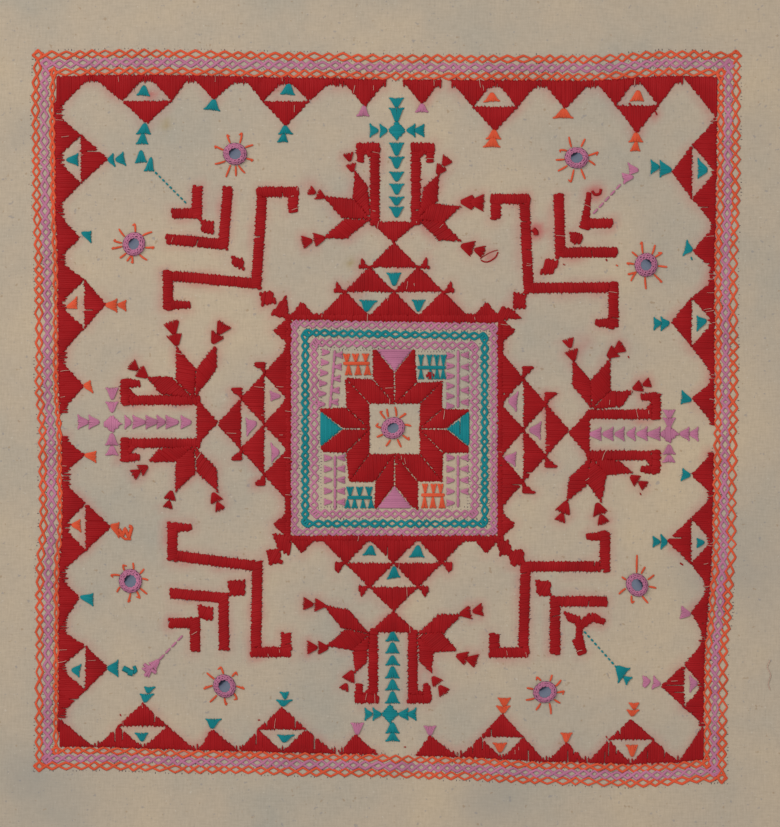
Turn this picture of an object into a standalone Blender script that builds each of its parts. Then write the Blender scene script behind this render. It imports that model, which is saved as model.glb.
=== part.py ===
"""An embroidered rumal: a cotton cloth with raised satin-stitch motifs, laced bands and sewn-on mirrors.

The cloth lies flat, face up, centred on the origin. Lengths in the tables are millimetres.
"""

import math

import bmesh
import bpy
from mathutils import Vector
from mathutils.geometry import delaunay_2d_cdt

MM = 0.001

# Cloth
CLOTH_HALF_WIDTH = 200.0
CLOTH_HALF_LENGTH = 210.0
CLOTH_THICK = 1.2
HEM_WIDTH = 7.0
HEM_THICK = 2.0
HEM_SLOPE = 1.6
RIM_THICK = 1.6
RIM_WIDTH = 2.0
EDGE_DRAW_IN = 1.6
RIM_CURL = 1.0
FLAT_HALF_WIDTH = 166.0
FLAT_HALF_LENGTH = 174.0
FIELD_STEP = 14.0
MARGIN_STEP = 10.0

# Embroidery lies on the cloth, a hair above it
WORK_BOTTOM = 1.5
WORK_THICK = 0.8
WORK_GAP = 0.3

# Laced bands of the border, from outside to inside
BORDER_BANDS = (
    ("band_outer", "orange_floss"),
    ("band_middle", "mauve_floss"),
    ("band_inner", "orange_floss"),
)
BAND_HALF = 1.5
BORDER_STEP = 15.0
NEAREST_BEND = 1.0
FOOT_STRIP = 1.3

# Mirrors
GLASS_RADIUS = 3.85
GLASS_THICK = 1.0
RING_OUTER = 5.2
RING_MOUTH = 2.8
RING_HEIGHT = 1.9
RING_SLOPE = 0.7
ROUND_SIDES = 16

# Medallion
STAR_X = 2.1
STAR_Y = -7.0
STAR_SIDE = 11.2
STAR_REACH = {"top": 3.2, "bottom": 3.2, "left": 3.0, "right": 3.0}
LACE_HALF = 1.7
SURROUND_STRIP = 2.2
SURROUND_FOOT = 0.6
STITCH_LAP = 0.7
WEDGE_DEPTH = 0.9

SIDES = ("top", "right", "bottom", "left")

LOOKS = {
    "cotton": ("ad9f8b", 0.95, 0.0),
    "red_floss": ("901d20", 0.6, 0.0),
    "orange_floss": ("cb4d33", 0.6, 0.0),
    "mauve_floss": ("a8668a", 0.6, 0.0),
    "teal_floss": ("1e7679", 0.6, 0.0),
    "mirror_glass": ("8c95a2", 0.1, 1.0),
}

# Where the centre line of the outermost band runs: (place along the side, distance from the middle)
BORDER_RUN = {
    "top": (
        (-160, 163.0),
        (-118, 163.8),
        (-32, 162.4),
        (-5, 161.5),
        (50, 161.3),
        (91, 161.1),
        (128, 163.3),
        (157, 162.7),
    ),
    "right": (
        (163, 157.4),
        (97, 157.0),
        (74, 156.1),
        (15, 156.1),
        (-62, 155.2),
        (-85, 153.6),
        (-112, 151.4),
        (-166, 150.9),
    ),
    "bottom": (
        (-160, 160.3),
        (-132, 160.2),
        (-86, 161.8),
        (-18, 163.3),
        (27, 164.7),
        (73, 167.0),
        (114, 168.1),
        (151, 165.8),
    ),
    "left": (
        (163, 160.2),
        (143, 161.3),
        (97, 160.8),
        (60, 159.7),
        (11, 159.6),
        (-8, 158.1),
        (-53, 157.7),
        (-70, 159.3),
        (-160, 159.6),
    ),
}
BAND_PITCH = {"top": 3.95, "right": 3.4, "bottom": 3.4, "left": 3.8}

# Big peaks of the zigzag, three triangles each: (side, start, tip, end, row, reach)
BIG_PEAKS = (
    ("top", -136.0, -110.6, -91.0, 142.2, 131.7),
    ("top", -66.9, -47.3, -25.0, 142.0, 130.8),
    ("top", 27.8, 47.8, 68.3, 139.5, 128.5),
    ("top", 93.7, 112.4, 132.4, 140.1, 127.6),
    ("right", 134.0, 109.9, 85.3, 137.4, 128.3),
    ("right", 60.7, 41.6, 16.6, 137.2, 127.9),
    ("right", -38.0, -58.0, -79.4, 137.0, 126.0),
    ("right", -103.1, -124.0, -141.3, 133.8, 123.3),
    ("bottom", -133.3, -112.4, -88.7, 142.2, 131.7),
    ("bottom", -68.3, -49.1, -25.0, 143.8, 133.5),
    ("bottom", 31.9, 51.0, 70.5, 147.2, 136.7),
    ("bottom", 90.1, 109.7, 130.6, 148.3, 139.0),
    ("left", 136.7, 115.8, 93.0, 140.6, 128.3),
    ("left", 69.8, 49.8, 25.7, 139.0, 129.2),
    ("left", -30.3, -51.6, -73.0, 138.5, 126.9),
    ("left", -98.1, -115.8, -138.1, 138.5, 128.3),
)

# Small peaks, one triangle each: (side, start, tip, end, reach)
SMALL_PEAKS = (
    ("top", -90.1, -80.1, -68.3, 142.6),
    ("top", -22.3, -11.4, -1.8, 139.5),
    ("top", 5.9, 14.6, 23.2, 140.4),
    ("top", 69.2, 79.6, 91.9, 138.5),
    ("right", 85.3, 73.9, 65.3, 137.4),
    ("right", 15.2, 7.1, -5.2, 137.4),
    ("right", -17.5, -28.0, -36.6, 137.0),
    ("right", -80.3, -90.3, -102.1, 137.0),
    ("bottom", -86.9, -81.0, -69.2, 143.6),
    ("bottom", -22.8, -15.9, -5.9, 145.8),
    ("bottom", 11.8, 18.2, 30.5, 146.3),
    ("bottom", 71.9, 80.5, 89.2, 149.5),
    ("left", 92.1, 79.9, 69.8, 141.1),
    ("left", 24.8, 12.5, 0.2, 139.2),
    ("left", -10.2, -18.9, -27.5, 138.8),
    ("left", -74.4, -83.9, -97.6, 141.1),
)

# Lengths of the zigzag: (name, one side and its run, the other side and its run)
ZIGZAG_RUNS = (
    ("zigzag_top_left", "top", -136.0, -1.8, "left", 136.7, 0.2),
    ("zigzag_top_right", "top", 133.3, 27.8, "right", 134.5, -5.2),
    ("zigzag_bottom_right", "bottom", 131.5, 11.8, "right", -142.2, -17.5),
    ("zigzag_bottom_left", "bottom", -135.1, -5.9, "left", -138.6, -10.2),
)
LONE_PEAK = ("zigzag_top_middle", "top", 5.9, 23.2)

# Pyramids outside the medallion: side, middle along the side, row height, pitch of the peaks
PYRAMIDS = (
    ("top", 1.8, 11.1, 22.3),
    ("right", -7.5, 10.2, 23.4),
    ("bottom", 1.6, 10.9, 21.8),
    ("left", -4.8, 10.55, 23.0),
)
# Barb at the end of a row, as steps along and outward from the corner it springs from
BARB = ((-1.5, -0.7), (4.8, -0.7), (3.8, 5.6), (1.2, 0.9))
CORNER_PEAK_HALF = 5.4
CORNER_PEAK_HEIGHT = 6.6
# Arrow and lozenge outside each corner of the medallion, as outward x and y
CORNER_ARROW = ((0.3, 0.3), (1.4, 10.4), (9.4, 2.0))
CORNER_LOZENGE = ((4.2, 6.4), (7.6, 3.6), (11.8, 6.6), (11.2, 11.0), (6.4, 11.4))

# Laced bands inside the medallion: (name, look, left, right, top, bottom of the centre line)
MEDALLION_BANDS = (
    ("medallion_band_outer", "mauve_floss", -43.4, 47.3, 41.0, -53.9),
    ("medallion_band_middle", "teal_floss", -38.6, 43.0, 36.8, -50.1),
    ("medallion_band_inner", "mauve_floss", -34.5, 38.5, 32.4, -45.7),
)

# Palms: side, axis along the side, base tip, bar reach, then for each of the two bars its distance from
# the axis and how far its foot stands out from it
PALMS = (
    ("top", 1.8, 77.6, 45.5, 8.7, 6.4, 10.0, 6.4),
    ("right", -8.9, 81.2, 41.9, 10.2, 6.4, 8.6, 7.8),
    ("bottom", 1.5, 89.9, 41.9, 9.1, 6.4, 8.9, 6.4),
    ("left", -3.9, 78.3, 44.3, 9.6, 6.4, 10.0, 7.6),
)
PALM_BASE_HEIGHT = 9.6
PALM_BASE_HALF = 10.6
PALM_BAR = 4.1
PALM_FOOT_DOWN = 8.6
PALM_FOOT_WIDE = 3.6
PALM_FOOT_NARROW = 2.6
LEAF_KNOT = 2.0
LEAF_ROOT = (10.6, 10.6)

# Leaf tips, as (side, hand, then out and across for each of the three leaves)
LEAF_TIPS = (
    ("top", -1, 31.9, 17.3, 20.9, 31.4, 2.7, 31.4),
    ("top", 1, 30.5, 20.0, 16.4, 29.6, 1.4, 29.6),
    ("right", 1, 28.2, 19.1, 18.7, 33.2, 2.3, 32.3),
    ("right", -1, 28.2, 17.7, 14.6, 30.5, -0.5, 30.5),
    ("bottom", -1, 27.3, 17.3, 15.5, 29.6, -2.3, 30.9),
    ("bottom", 1, 27.3, 17.3, 17.7, 28.7, 1.8, 30.5),
    ("left", 1, 31.4, 20.0, 18.7, 33.2, 0.9, 34.6),
    ("left", -1, 30.9, 17.7, 19.1, 30.9, 0.5, 30.9),
)
# How each leaf swells: (place and size of the inner belly, place and size of the outer belly)
LEAF_BELLIES = ((0.63, 3.6, 0.47, 4.9), (0.42, 5.3, 0.48, 5.2), (0.48, 4.6, 0.56, 4.4))

# Stems of small triangles: side, middle line, distance of the first point, distance of the cross
STEMS = (
    ("top", 2.0, 89.4, 129.4, "teal_floss"),
    ("right", -8.9, 91.8, 127.0, "mauve_floss"),
    ("bottom", 1.0, 100.4, 136.6, "teal_floss"),
    ("left", -4.1, 90.5, 126.5, "mauve_floss"),
)
STEM_COUNT = 6
STEM_HALF = 3.2
CROSS_HALF = 4.6
CROSS_PITCH = 4.4
POINT_LAP = 0.5

# Corner hooks: (name, elbow x and y, upright arm's end x and y, level arm's end x and y)
HOOKS = (
    ("hook_large_top_left", -61.0, 59.2, -58.2, 100.8, -101.0, 62.6),
    ("hook_large_top_right", 63.2, 57.1, 61.2, 97.6, 101.7, 57.3),
    ("hook_large_bottom_left", -60.3, -69.4, -61.0, -108.5, -99.0, -64.8),
    ("hook_large_bottom_right", 61.7, -69.6, 60.7, -108.7, 97.8, -69.6),
    ("hook_middle_top_left", -76.0, 77.1, -73.7, 103.1, -101.9, 79.4),
    ("hook_middle_top_right", 77.6, 73.3, 76.7, 99.9, 103.3, 73.3),
    ("hook_middle_bottom_left", -75.8, -83.9, -75.5, -107.6, -100.1, -81.7),
    ("hook_middle_bottom_right", 75.1, -85.5, 75.1, -109.4, 98.7, -85.5),
    ("hook_small_top_left", -88.0, 91.0, -87.6, 103.5, -99.2, 91.0),
    ("hook_small_top_right", 89.2, 86.2, 89.2, 100.3, 101.0, 86.2),
    ("hook_small_bottom_left", -88.7, -95.3, -88.7, -108.1, -100.6, -95.3),
    ("hook_small_bottom_right", 86.2, -94.9, 86.5, -109.4, 97.4, -93.5),
)
# Turned-in ends of the large hooks: (upright arm's bar and leg, level arm's leg and foot)
HOOK_ENDS = {
    "hook_large_top_left": (14.1, 9.1, 13.2, 10.0),
    "hook_large_top_right": (13.0, 9.1, 16.1, 8.0),
    "hook_large_bottom_left": (13.7, 8.6, 12.9, 8.5),
    "hook_large_bottom_right": (13.2, 8.4, 13.6, 8.2),
}
HOOK_BAR = 4.4
HOOK_TOE = 2.6

# Mirrors, by the middle of each glass
MIRRORS = (
    (-70.5, 118.1),
    (84.9, 116.3),
    (-116.5, 77.1),
    (116.5, 67.6),
    (1.4, -6.6),
    (-118.1, -76.2),
    (112.4, -78.0),
    (-75.3, -124.0),
    (70.5, -126.7),
)

# Low ripples of the margin: (side, place along it, half breadth, height)
RIPPLES = (
    ("top", -120, 30, 1.0),
    ("top", -20, 38, 1.5),
    ("top", 95, 26, 0.9),
    ("right", 120, 34, 1.2),
    ("right", 20, 26, 0.8),
    ("right", -74, 24, 2.4),
    ("right", -150, 26, 1.2),
    ("bottom", -130, 30, 1.4),
    ("bottom", -45, 24, 0.9),
    ("bottom", 44, 26, 2.2),
    ("bottom", 140, 22, 1.1),
    ("left", 128, 24, 2.0),
    ("left", 40, 34, 1.0),
    ("left", -60, 28, 1.5),
    ("left", -150, 24, 0.9),
)


def clear_scene():
    """Removes whatever the file holds, so that the cloth stands alone."""
    for old in list(bpy.data.objects):
        bpy.data.objects.remove(old, do_unlink=True)


def linear(code):
    """A hex sRGB colour as linear RGBA."""
    parts = [int(code[i : i + 2], 16) / 255 for i in (0, 2, 4)]
    return [c / 12.92 if c <= 0.04045 else ((c + 0.055) / 1.055) ** 2.4 for c in parts] + [1.0]


def make_material(name, look):
    colour, roughness, metallic = LOOKS[look]
    made = bpy.data.materials.new(name)
    made.use_nodes = True
    shader = made.node_tree.nodes["Principled BSDF"]
    shader.inputs["Base Color"].default_value = linear(colour)
    shader.inputs["Roughness"].default_value = roughness
    shader.inputs["Metallic"].default_value = metallic
    made.diffuse_color = linear(colour)
    return made


def add_object(name, mesh, look):
    mesh.materials.append(make_material(name, look))
    made = bpy.data.objects.new(name, mesh)
    bpy.data.collections["embroidered_rumal"].objects.link(made)
    return made


def place(side, along, out):
    """A point given along a side and outward from the middle of the cloth, as x and y."""
    if side == "top":
        return (along, out)
    if side == "bottom":
        return (along, -out)
    if side == "right":
        return (out, along)
    return (-out, along)


def counter_clockwise(shape):
    area = 0.0
    for (x0, y0), (x1, y1) in zip(shape, shape[1:] + shape[:1]):
        area += x0 * y1 - x1 * y0
    return shape if area > 0 else shape[::-1]


def bar(start, end, width, end_width=None):
    """A straight band of stitches from one point to another, square at both ends."""
    (x0, y0), (x1, y1) = start, end
    length = math.hypot(x1 - x0, y1 - y0)
    across_x = -(y1 - y0) / length / 2
    across_y = (x1 - x0) / length / 2
    far = width if end_width is None else end_width
    return [
        (x0 + across_x * width, y0 + across_y * width),
        (x0 - across_x * width, y0 - across_y * width),
        (x1 - across_x * far, y1 - across_y * far),
        (x1 + across_x * far, y1 + across_y * far),
    ]


def plate(name, shapes, look):
    """Joins flat shapes into one area and gives it the thickness of worked thread."""
    points = []
    faces = []
    for shape in shapes:
        first = len(points)
        points += [Vector(point) for point in counter_clockwise(list(shape))]
        faces.append(list(range(first, len(points))))
    found, _, parts, _, _, owners = delaunay_2d_cdt(points, [], faces, 1, 1e-4)
    sheet = bmesh.new()
    corners = [sheet.verts.new((x * MM, y * MM, WORK_BOTTOM * MM)) for x, y in found]
    for part, owner in zip(parts, owners):
        if owner:
            sheet.faces.new([corners[i] for i in part])
    lone = [corner for corner in sheet.verts if not corner.link_faces]
    bmesh.ops.delete(sheet, geom=lone, context="VERTS")
    bmesh.ops.recalc_face_normals(sheet, faces=sheet.faces)
    for face in sheet.faces:
        if face.normal.z < 0:
            face.normal_flip()
    mesh = bpy.data.meshes.new(name)
    sheet.to_mesh(mesh)
    sheet.free()
    made = add_object(name, mesh, look)
    thicken = made.modifiers.new("thread", "SOLIDIFY")
    thicken.thickness = WORK_THICK * MM
    thicken.offset = 1.0
    return made


def read_run(rows, along):
    """The value of a table at one place, eased between its rows."""
    rows = sorted(rows)
    if along <= rows[0][0]:
        return rows[0][1]
    for (a, low), (b, high) in zip(rows, rows[1:]):
        if along <= b:
            share = (along - a) / (b - a)
            share = share * share * (3 - 2 * share)
            return low + (high - low) * share
    return rows[-1][1]


def border_line(side, along, inward):
    """Distance from the middle of the cloth of a line that follows the border at some depth inside it."""
    return read_run(BORDER_RUN[side], along) - inward


def stations(start, end):
    """Places along a side at which its lines bend: the two ends, and the whole steps between them."""
    low, high = min(start, end), max(start, end)
    first = math.ceil((low + NEAREST_BEND) / BORDER_STEP)
    last = math.floor((high - NEAREST_BEND) / BORDER_STEP)
    found = [low] + [i * BORDER_STEP for i in range(first, last + 1)] + [high]
    return found if start < end else found[::-1]


def border_corner(upright, level, depth_upright, depth_level):
    """Where two neighbouring border lines cross, found by stepping from a first guess."""
    x_sign = 1 if upright == "right" else -1
    y_sign = 1 if level == "top" else -1
    x, y = 155.0 * x_sign, 160.0 * y_sign
    for _ in range(8):
        x = x_sign * border_line(upright, y, depth_upright)
        y = y_sign * border_line(level, x, depth_level)
    return (x, y)


def border_loop(rank, offset):
    """A closed loop round the cloth, along band number rank and shifted outward by offset."""
    depth = {side: BAND_PITCH[side] * rank - offset for side in SIDES}
    loop = []
    ends = {}
    for upright in ("left", "right"):
        for level in ("top", "bottom"):
            ends[level, upright] = border_corner(upright, level, depth[upright], depth[level])
    turns = (
        ("top", ends["top", "left"], ends["top", "right"]),
        ("right", ends["top", "right"], ends["bottom", "right"]),
        ("bottom", ends["bottom", "right"], ends["bottom", "left"]),
        ("left", ends["bottom", "left"], ends["top", "left"]),
    )
    for side, first, last in turns:
        level = side in ("top", "bottom")
        a, b = (first[0], last[0]) if level else (first[1], last[1])
        loop.append(first)
        loop += [place(side, s, border_line(side, s, depth[side])) for s in stations(a, b)[1:-1]]
    return loop


def ring_plate(name, outer, inner, look):
    """A closed band between two loops, as an outline curve with a hole."""
    curve = bpy.data.curves.new(name, "CURVE")
    curve.dimensions = "2D"
    curve.fill_mode = "BOTH"
    curve.extrude = WORK_THICK / 2 * MM
    for loop in (outer, inner):
        line = curve.splines.new("POLY")
        line.points.add(len(loop) - 1)
        for point, (x, y) in zip(line.points, loop):
            point.co = (x * MM, y * MM, 0.0, 1.0)
        line.use_cyclic_u = True
    made = add_object(name, curve, look)
    made.location.z = (WORK_BOTTOM + WORK_THICK / 2) * MM
    return made


def margin_share(out, flat, rim):
    """0 over the flat middle of the cloth, rising to 1 at its edge."""
    return max(0.0, out - flat) / (rim - flat)


def margin_lift(x, y):
    """How far the margin of the cloth is lifted at one point by its curl and its ripples."""
    across = margin_share(abs(x), FLAT_HALF_WIDTH, CLOTH_HALF_WIDTH)
    lengthwise = margin_share(abs(y), FLAT_HALF_LENGTH, CLOTH_HALF_LENGTH)
    lift = RIM_CURL * max(across, lengthwise) ** 2
    for side, middle, half, height in RIPPLES:
        level = side in ("top", "bottom")
        along, out = (x, abs(y)) if level else (y, abs(x))
        facing = {"top": y > 0, "bottom": y < 0, "right": x > 0, "left": x < 0}[side]
        flat = FLAT_HALF_LENGTH if level else FLAT_HALF_WIDTH
        rim = CLOTH_HALF_LENGTH if level else CLOTH_HALF_WIDTH
        if facing:
            lift += height * margin_share(out, flat, rim) ** 2 * math.exp(-(((along - middle) / half) ** 2))
    return lift


def edge_draw(along):
    """How far a cut edge is drawn in from its straight line, never outside it."""
    wave = 0.5 + 0.3 * math.sin(along / 37.0 + 0.6) + 0.2 * math.sin(along / 17.0 + 2.1)
    return EDGE_DRAW_IN * wave


def grid_lines(rim, flat):
    """Places of the grid lines across the cloth, close at the hem and the margin."""
    fold = rim - HEM_WIDTH
    margin = [rim, rim - RIM_WIDTH, fold + HEM_SLOPE / 2, fold - HEM_SLOPE / 2]
    steps = math.ceil((margin[-1] - flat) / MARGIN_STEP)
    margin += [margin[-1] + (flat - margin[-1]) * (i + 1) / steps for i in range(steps)]
    count = round(2 * flat / FIELD_STEP)
    field = [-flat + 2 * flat * (i + 1) / count for i in range(count - 1)]
    return sorted([-m for m in margin] + field + margin)


def make_cloth():
    """The ground cloth: one sheet with a thicker hem, flat under the work and rippled in its margin."""
    columns = grid_lines(CLOTH_HALF_WIDTH, FLAT_HALF_WIDTH)
    rows = grid_lines(CLOTH_HALF_LENGTH, FLAT_HALF_LENGTH)
    sheet = bmesh.new()
    bmesh.ops.create_grid(sheet, x_segments=len(columns) - 1, y_segments=len(rows) - 1, size=1.0)
    sheet.verts.ensure_lookup_table()
    tops = {}
    for vert in sheet.verts:
        x = columns[round((vert.co.x + 1) / 2 * (len(columns) - 1))]
        y = rows[round((vert.co.y + 1) / 2 * (len(rows) - 1))]
        near_rim = min(CLOTH_HALF_WIDTH - abs(x), CLOTH_HALF_LENGTH - abs(y))
        lift = margin_lift(x, y)
        thick = CLOTH_THICK
        if near_rim < HEM_WIDTH:
            thick = HEM_THICK if near_rim > RIM_WIDTH / 2 else RIM_THICK
        pull_x = edge_draw(y) * margin_share(abs(x), FLAT_HALF_WIDTH, CLOTH_HALF_WIDTH)
        pull_y = edge_draw(x + 90) * margin_share(abs(y), FLAT_HALF_LENGTH, CLOTH_HALF_LENGTH)
        vert.co = (
            (x - math.copysign(pull_x, x)) * MM,
            (y - math.copysign(pull_y, y)) * MM,
            lift * MM,
        )
        tops[vert.index] = (lift + thick) * MM
    under = list(sheet.verts)
    raised = bmesh.ops.extrude_face_region(sheet, geom=sheet.faces[:], use_keep_orig=True)
    above = [item for item in raised["geom"] if isinstance(item, bmesh.types.BMVert)]
    match = {(round(v.co.x, 7), round(v.co.y, 7)): tops[v.index] for v in under}
    for vert in above:
        vert.co.z = match[round(vert.co.x, 7), round(vert.co.y, 7)]
    bmesh.ops.recalc_face_normals(sheet, faces=sheet.faces)
    mesh = bpy.data.meshes.new("ground_cloth")
    sheet.to_mesh(mesh)
    sheet.free()
    return add_object("ground_cloth", mesh, "cotton")


def make_border_bands():
    for rank, (name, look) in enumerate(BORDER_BANDS):
        ring_plate(name, border_loop(rank, BAND_HALF), border_loop(rank, -BAND_HALF), look)


def zigzag_foot(side, along):
    """Distance from the middle of the line on which the zigzag stands."""
    return border_line(side, along, 2 * BAND_PITCH[side] + BAND_HALF + WORK_GAP)


def foot_strip(side, start, end):
    """A narrow run of stitches along the foot of the zigzag that ties its peaks together."""
    places = stations(start, end)
    outer = [place(side, s, zigzag_foot(side, s)) for s in places]
    inner = [place(side, s, zigzag_foot(side, s) - FOOT_STRIP) for s in reversed(places)]
    return outer + inner


def peak(side, start, end, tip, reach):
    """One triangle that stands on the foot strip and points to the middle of the cloth."""
    feet = [place(side, s, zigzag_foot(side, s) - STITCH_LAP) for s in (start, end)]
    return feet + [place(side, tip, reach)]


def big_peak(side, start, tip, end, row, reach):
    """Two triangles side by side and a third beyond them, with a bare window between."""
    quarter = (end - start) / 4
    turn = math.copysign(1, end - start)
    near, far = tip - quarter, tip + quarter
    return [
        peak(side, start, tip - STITCH_LAP * turn, near, row - STITCH_LAP),
        peak(side, tip + STITCH_LAP * turn, end, far, row - STITCH_LAP),
        [
            place(side, near - 2 * STITCH_LAP * turn, row + STITCH_LAP / 2),
            place(side, far + 2 * STITCH_LAP * turn, row + STITCH_LAP / 2),
            place(side, tip, reach),
        ],
    ]


def small_peak(side, start, tip, end, reach):
    return peak(side, start, end, tip, reach)


def peaks_between(side, first, last):
    low, high = min(first, last) - 0.1, max(first, last) + 0.1
    shapes = []
    for row in BIG_PEAKS:
        if row[0] == side and low <= row[2] <= high:
            shapes += big_peak(*row)
    for row in SMALL_PEAKS:
        if row[0] == side and low <= row[2] <= high:
            shapes.append(small_peak(*row))
    return shapes


def make_zigzag():
    for name, level, level_start, level_end, upright, upright_start, upright_end in ZIGZAG_RUNS:
        depth_upright = 2 * BAND_PITCH[upright] + BAND_HALF + WORK_GAP
        depth_level = 2 * BAND_PITCH[level] + BAND_HALF + WORK_GAP
        corner = border_corner(upright, level, depth_upright, depth_level)
        shapes = peaks_between(level, level_start, level_end)
        shapes += peaks_between(upright, upright_start, upright_end)
        shapes.append(foot_strip(level, corner[0], level_end))
        shapes.append(foot_strip(upright, corner[1], upright_end))
        shapes.append(
            [
                corner,
                place(level, level_start, zigzag_foot(level, level_start)),
                place(upright, upright_start, zigzag_foot(upright, upright_start)),
            ]
        )
        plate(name, shapes, "red_floss")
    name, side, start, end = LONE_PEAK
    plate(name, peaks_between(side, start, end) + [foot_strip(side, start, end)], "red_floss")


def pyramid(side, middle, foot, height, pitch):
    """Three, two, then one triangle in rows, with windows between and a barb at each row's ends."""
    shapes = []
    for row in range(3):
        base = foot + row * height
        for i in range(3 - row):
            centre = middle + (i - (2 - row) / 2) * pitch
            foot_half = pitch / 2 + STITCH_LAP
            tip_half = STITCH_LAP / 2
            tip = base + height + STITCH_LAP / 2
            shapes.append(
                [
                    place(side, centre - foot_half, base - STITCH_LAP / 2),
                    place(side, centre + foot_half, base - STITCH_LAP / 2),
                    place(side, centre + tip_half, tip),
                    place(side, centre - tip_half, tip),
                ]
            )
        if row:
            for hand in (-1, 1):
                corner = middle + hand * (3 - row) / 2 * pitch
                shapes.append([place(side, corner + hand * u, base + v) for u, v in BARB])
    return shapes


def make_surround():
    """The red frame of the medallion, with a pyramid on each side and an arrow at each corner."""
    _, _, left, right, top, bottom = MEDALLION_BANDS[0]
    rim = LACE_HALF + WORK_GAP
    left, right, top, bottom = left - rim, right + rim, top + rim, bottom - rim
    strip = SURROUND_STRIP / 2
    frame = [(left - strip, top + strip), (right + strip, top + strip)]
    frame += [(right + strip, bottom - strip), (left - strip, bottom - strip)]
    shapes = []
    for i, start in enumerate(frame):
        end = frame[(i + 1) % 4]
        dx = math.copysign(strip, end[0] - start[0]) if start[0] != end[0] else 0.0
        dy = math.copysign(strip, end[1] - start[1]) if start[1] != end[1] else 0.0
        shapes.append(bar((start[0] - dx, start[1] - dy), (end[0] + dx, end[1] + dy), SURROUND_STRIP))
    for side, middle, height, pitch in PYRAMIDS:
        foot = {"top": top, "bottom": -bottom, "left": -left, "right": right}[side] + SURROUND_FOOT
        shapes += pyramid(side, middle, foot, height, pitch)
        ends = (left, right) if side in ("top", "bottom") else (bottom, top)
        for end, hand in zip(ends, (1, -1)):
            centre = end + hand * CORNER_PEAK_HALF
            shapes.append(
                [
                    place(side, centre - CORNER_PEAK_HALF, foot),
                    place(side, centre + CORNER_PEAK_HALF, foot),
                    place(side, centre, foot + CORNER_PEAK_HEIGHT),
                ]
            )
    for x, out_x in ((left, -1), (right, 1)):
        for y, out_y in ((top, 1), (bottom, -1)):
            for outline in (CORNER_ARROW, CORNER_LOZENGE):
                shapes.append([(x + out_x * u, y + out_y * v) for u, v in outline])
    plate("medallion_surround", shapes, "red_floss")


def rectangle(left, right, top, bottom):
    return [(left, bottom), (right, bottom), (right, top), (left, top)]


def make_medallion_bands():
    for name, look, left, right, top, bottom in MEDALLION_BANDS:
        outer = rectangle(left - LACE_HALF, right + LACE_HALF, top + LACE_HALF, bottom - LACE_HALF)
        inner = rectangle(left + LACE_HALF, right - LACE_HALF, top - LACE_HALF, bottom + LACE_HALF)
        ring_plate(name, outer, inner, look)


def star_point(side, along, out):
    x, y = place(side, along * STAR_SIDE, out * STAR_SIDE)
    return (STAR_X + x, STAR_Y + y)


def make_star():
    """Sixteen slanting petals round a bare square, and the four wedges between their tips."""
    shapes = []
    for side in SIDES:
        reach = STAR_REACH[side]
        for hand in (-1, 1):
            leaning = ((hand, 1), (hand * 2, 2), (hand, 2), (0, 1))
            upright = ((0, 1), (hand, 2), (hand, reach), (0, reach - WEDGE_DEPTH))
            for outline in (leaning, upright):
                shapes.append([star_point(side, *point) for point in outline])
    plate("star", shapes, "red_floss")
    for side in SIDES:
        look = "mauve_floss" if side in ("top", "bottom") else "teal_floss"
        reach = STAR_REACH[side]
        gap = WORK_GAP * 1.6 / STAR_SIDE
        wedge = ((gap - WEDGE_DEPTH, reach), (WEDGE_DEPTH - gap, reach), (0.0, reach - WEDGE_DEPTH + gap))
        plate("star_wedge_" + side, [[star_point(side, *point) for point in wedge]], look)


def leaf(root, tip, swell):
    """A four-sided leaf from its root to its tip, bellied unevenly on its two sides."""
    inner_at, inner_size, outer_at, outer_size = swell
    run_u, run_v = tip[0] - root[0], tip[1] - root[1]
    length = math.hypot(run_u, run_v)
    side_u, side_v = -run_v / length, run_u / length
    return [
        root,
        (root[0] + run_u * inner_at - side_u * inner_size, root[1] + run_v * inner_at - side_v * inner_size),
        tip,
        (root[0] + run_u * outer_at + side_u * outer_size, root[1] + run_v * outer_at + side_v * outer_size),
    ]


def make_palms():
    """Each palm stands outward from its base triangle: two hooked bars and three leaves on each hand."""
    for side, axis, foot, reach, low_bar, low_foot, high_bar, high_foot in PALMS:
        def at(out, across):
            return place(side, axis + across, foot + out)

        shapes = [[at(0, 0), at(PALM_BASE_HEIGHT, -PALM_BASE_HALF), at(PALM_BASE_HEIGHT, PALM_BASE_HALF)]]
        for hand, distance, foot_out in ((-1, low_bar, low_foot), (1, high_bar, high_foot)):
            middle = hand * distance
            beyond = hand * (distance + foot_out)
            half = hand * PALM_BAR / 2
            end = reach - PALM_BAR / 2
            turn = at(end, beyond + half - hand * STITCH_LAP / 2)
            toe = at(reach - PALM_FOOT_DOWN, beyond)
            shapes.append(bar(at(PALM_BASE_HEIGHT - STITCH_LAP, middle), at(reach, middle), PALM_BAR))
            shapes.append(bar(at(end, middle - half), turn, PALM_BAR))
            shapes.append(bar(at(reach, beyond), toe, PALM_FOOT_WIDE, PALM_FOOT_NARROW))
        for leaf_side, hand, *tips in LEAF_TIPS:
            if leaf_side != side:
                continue
            for i, swell in enumerate(LEAF_BELLIES):
                tip = (tips[2 * i], tips[2 * i + 1])
                outline = leaf(LEAF_ROOT, tip, swell)
                shapes.append([at(out, hand * across) for out, across in outline])
            out, across = LEAF_ROOT
            knot = rectangle(out - LEAF_KNOT, out + LEAF_KNOT, across + LEAF_KNOT, across - LEAF_KNOT)
            shapes.append([at(u, hand * v) for u, v in knot])
        plate("palm_" + side, shapes, "red_floss")


def small_triangle(apex, toward, half, height):
    """A small triangle whose point is at apex and whose base lies in the direction of toward."""
    (x, y), (dx, dy) = apex, toward
    return [
        (x - dx * POINT_LAP, y - dy * POINT_LAP),
        (x + dx * height - dy * half, y + dy * height + dx * half),
        (x + dx * height + dy * half, y + dy * height - dx * half),
    ]


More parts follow.
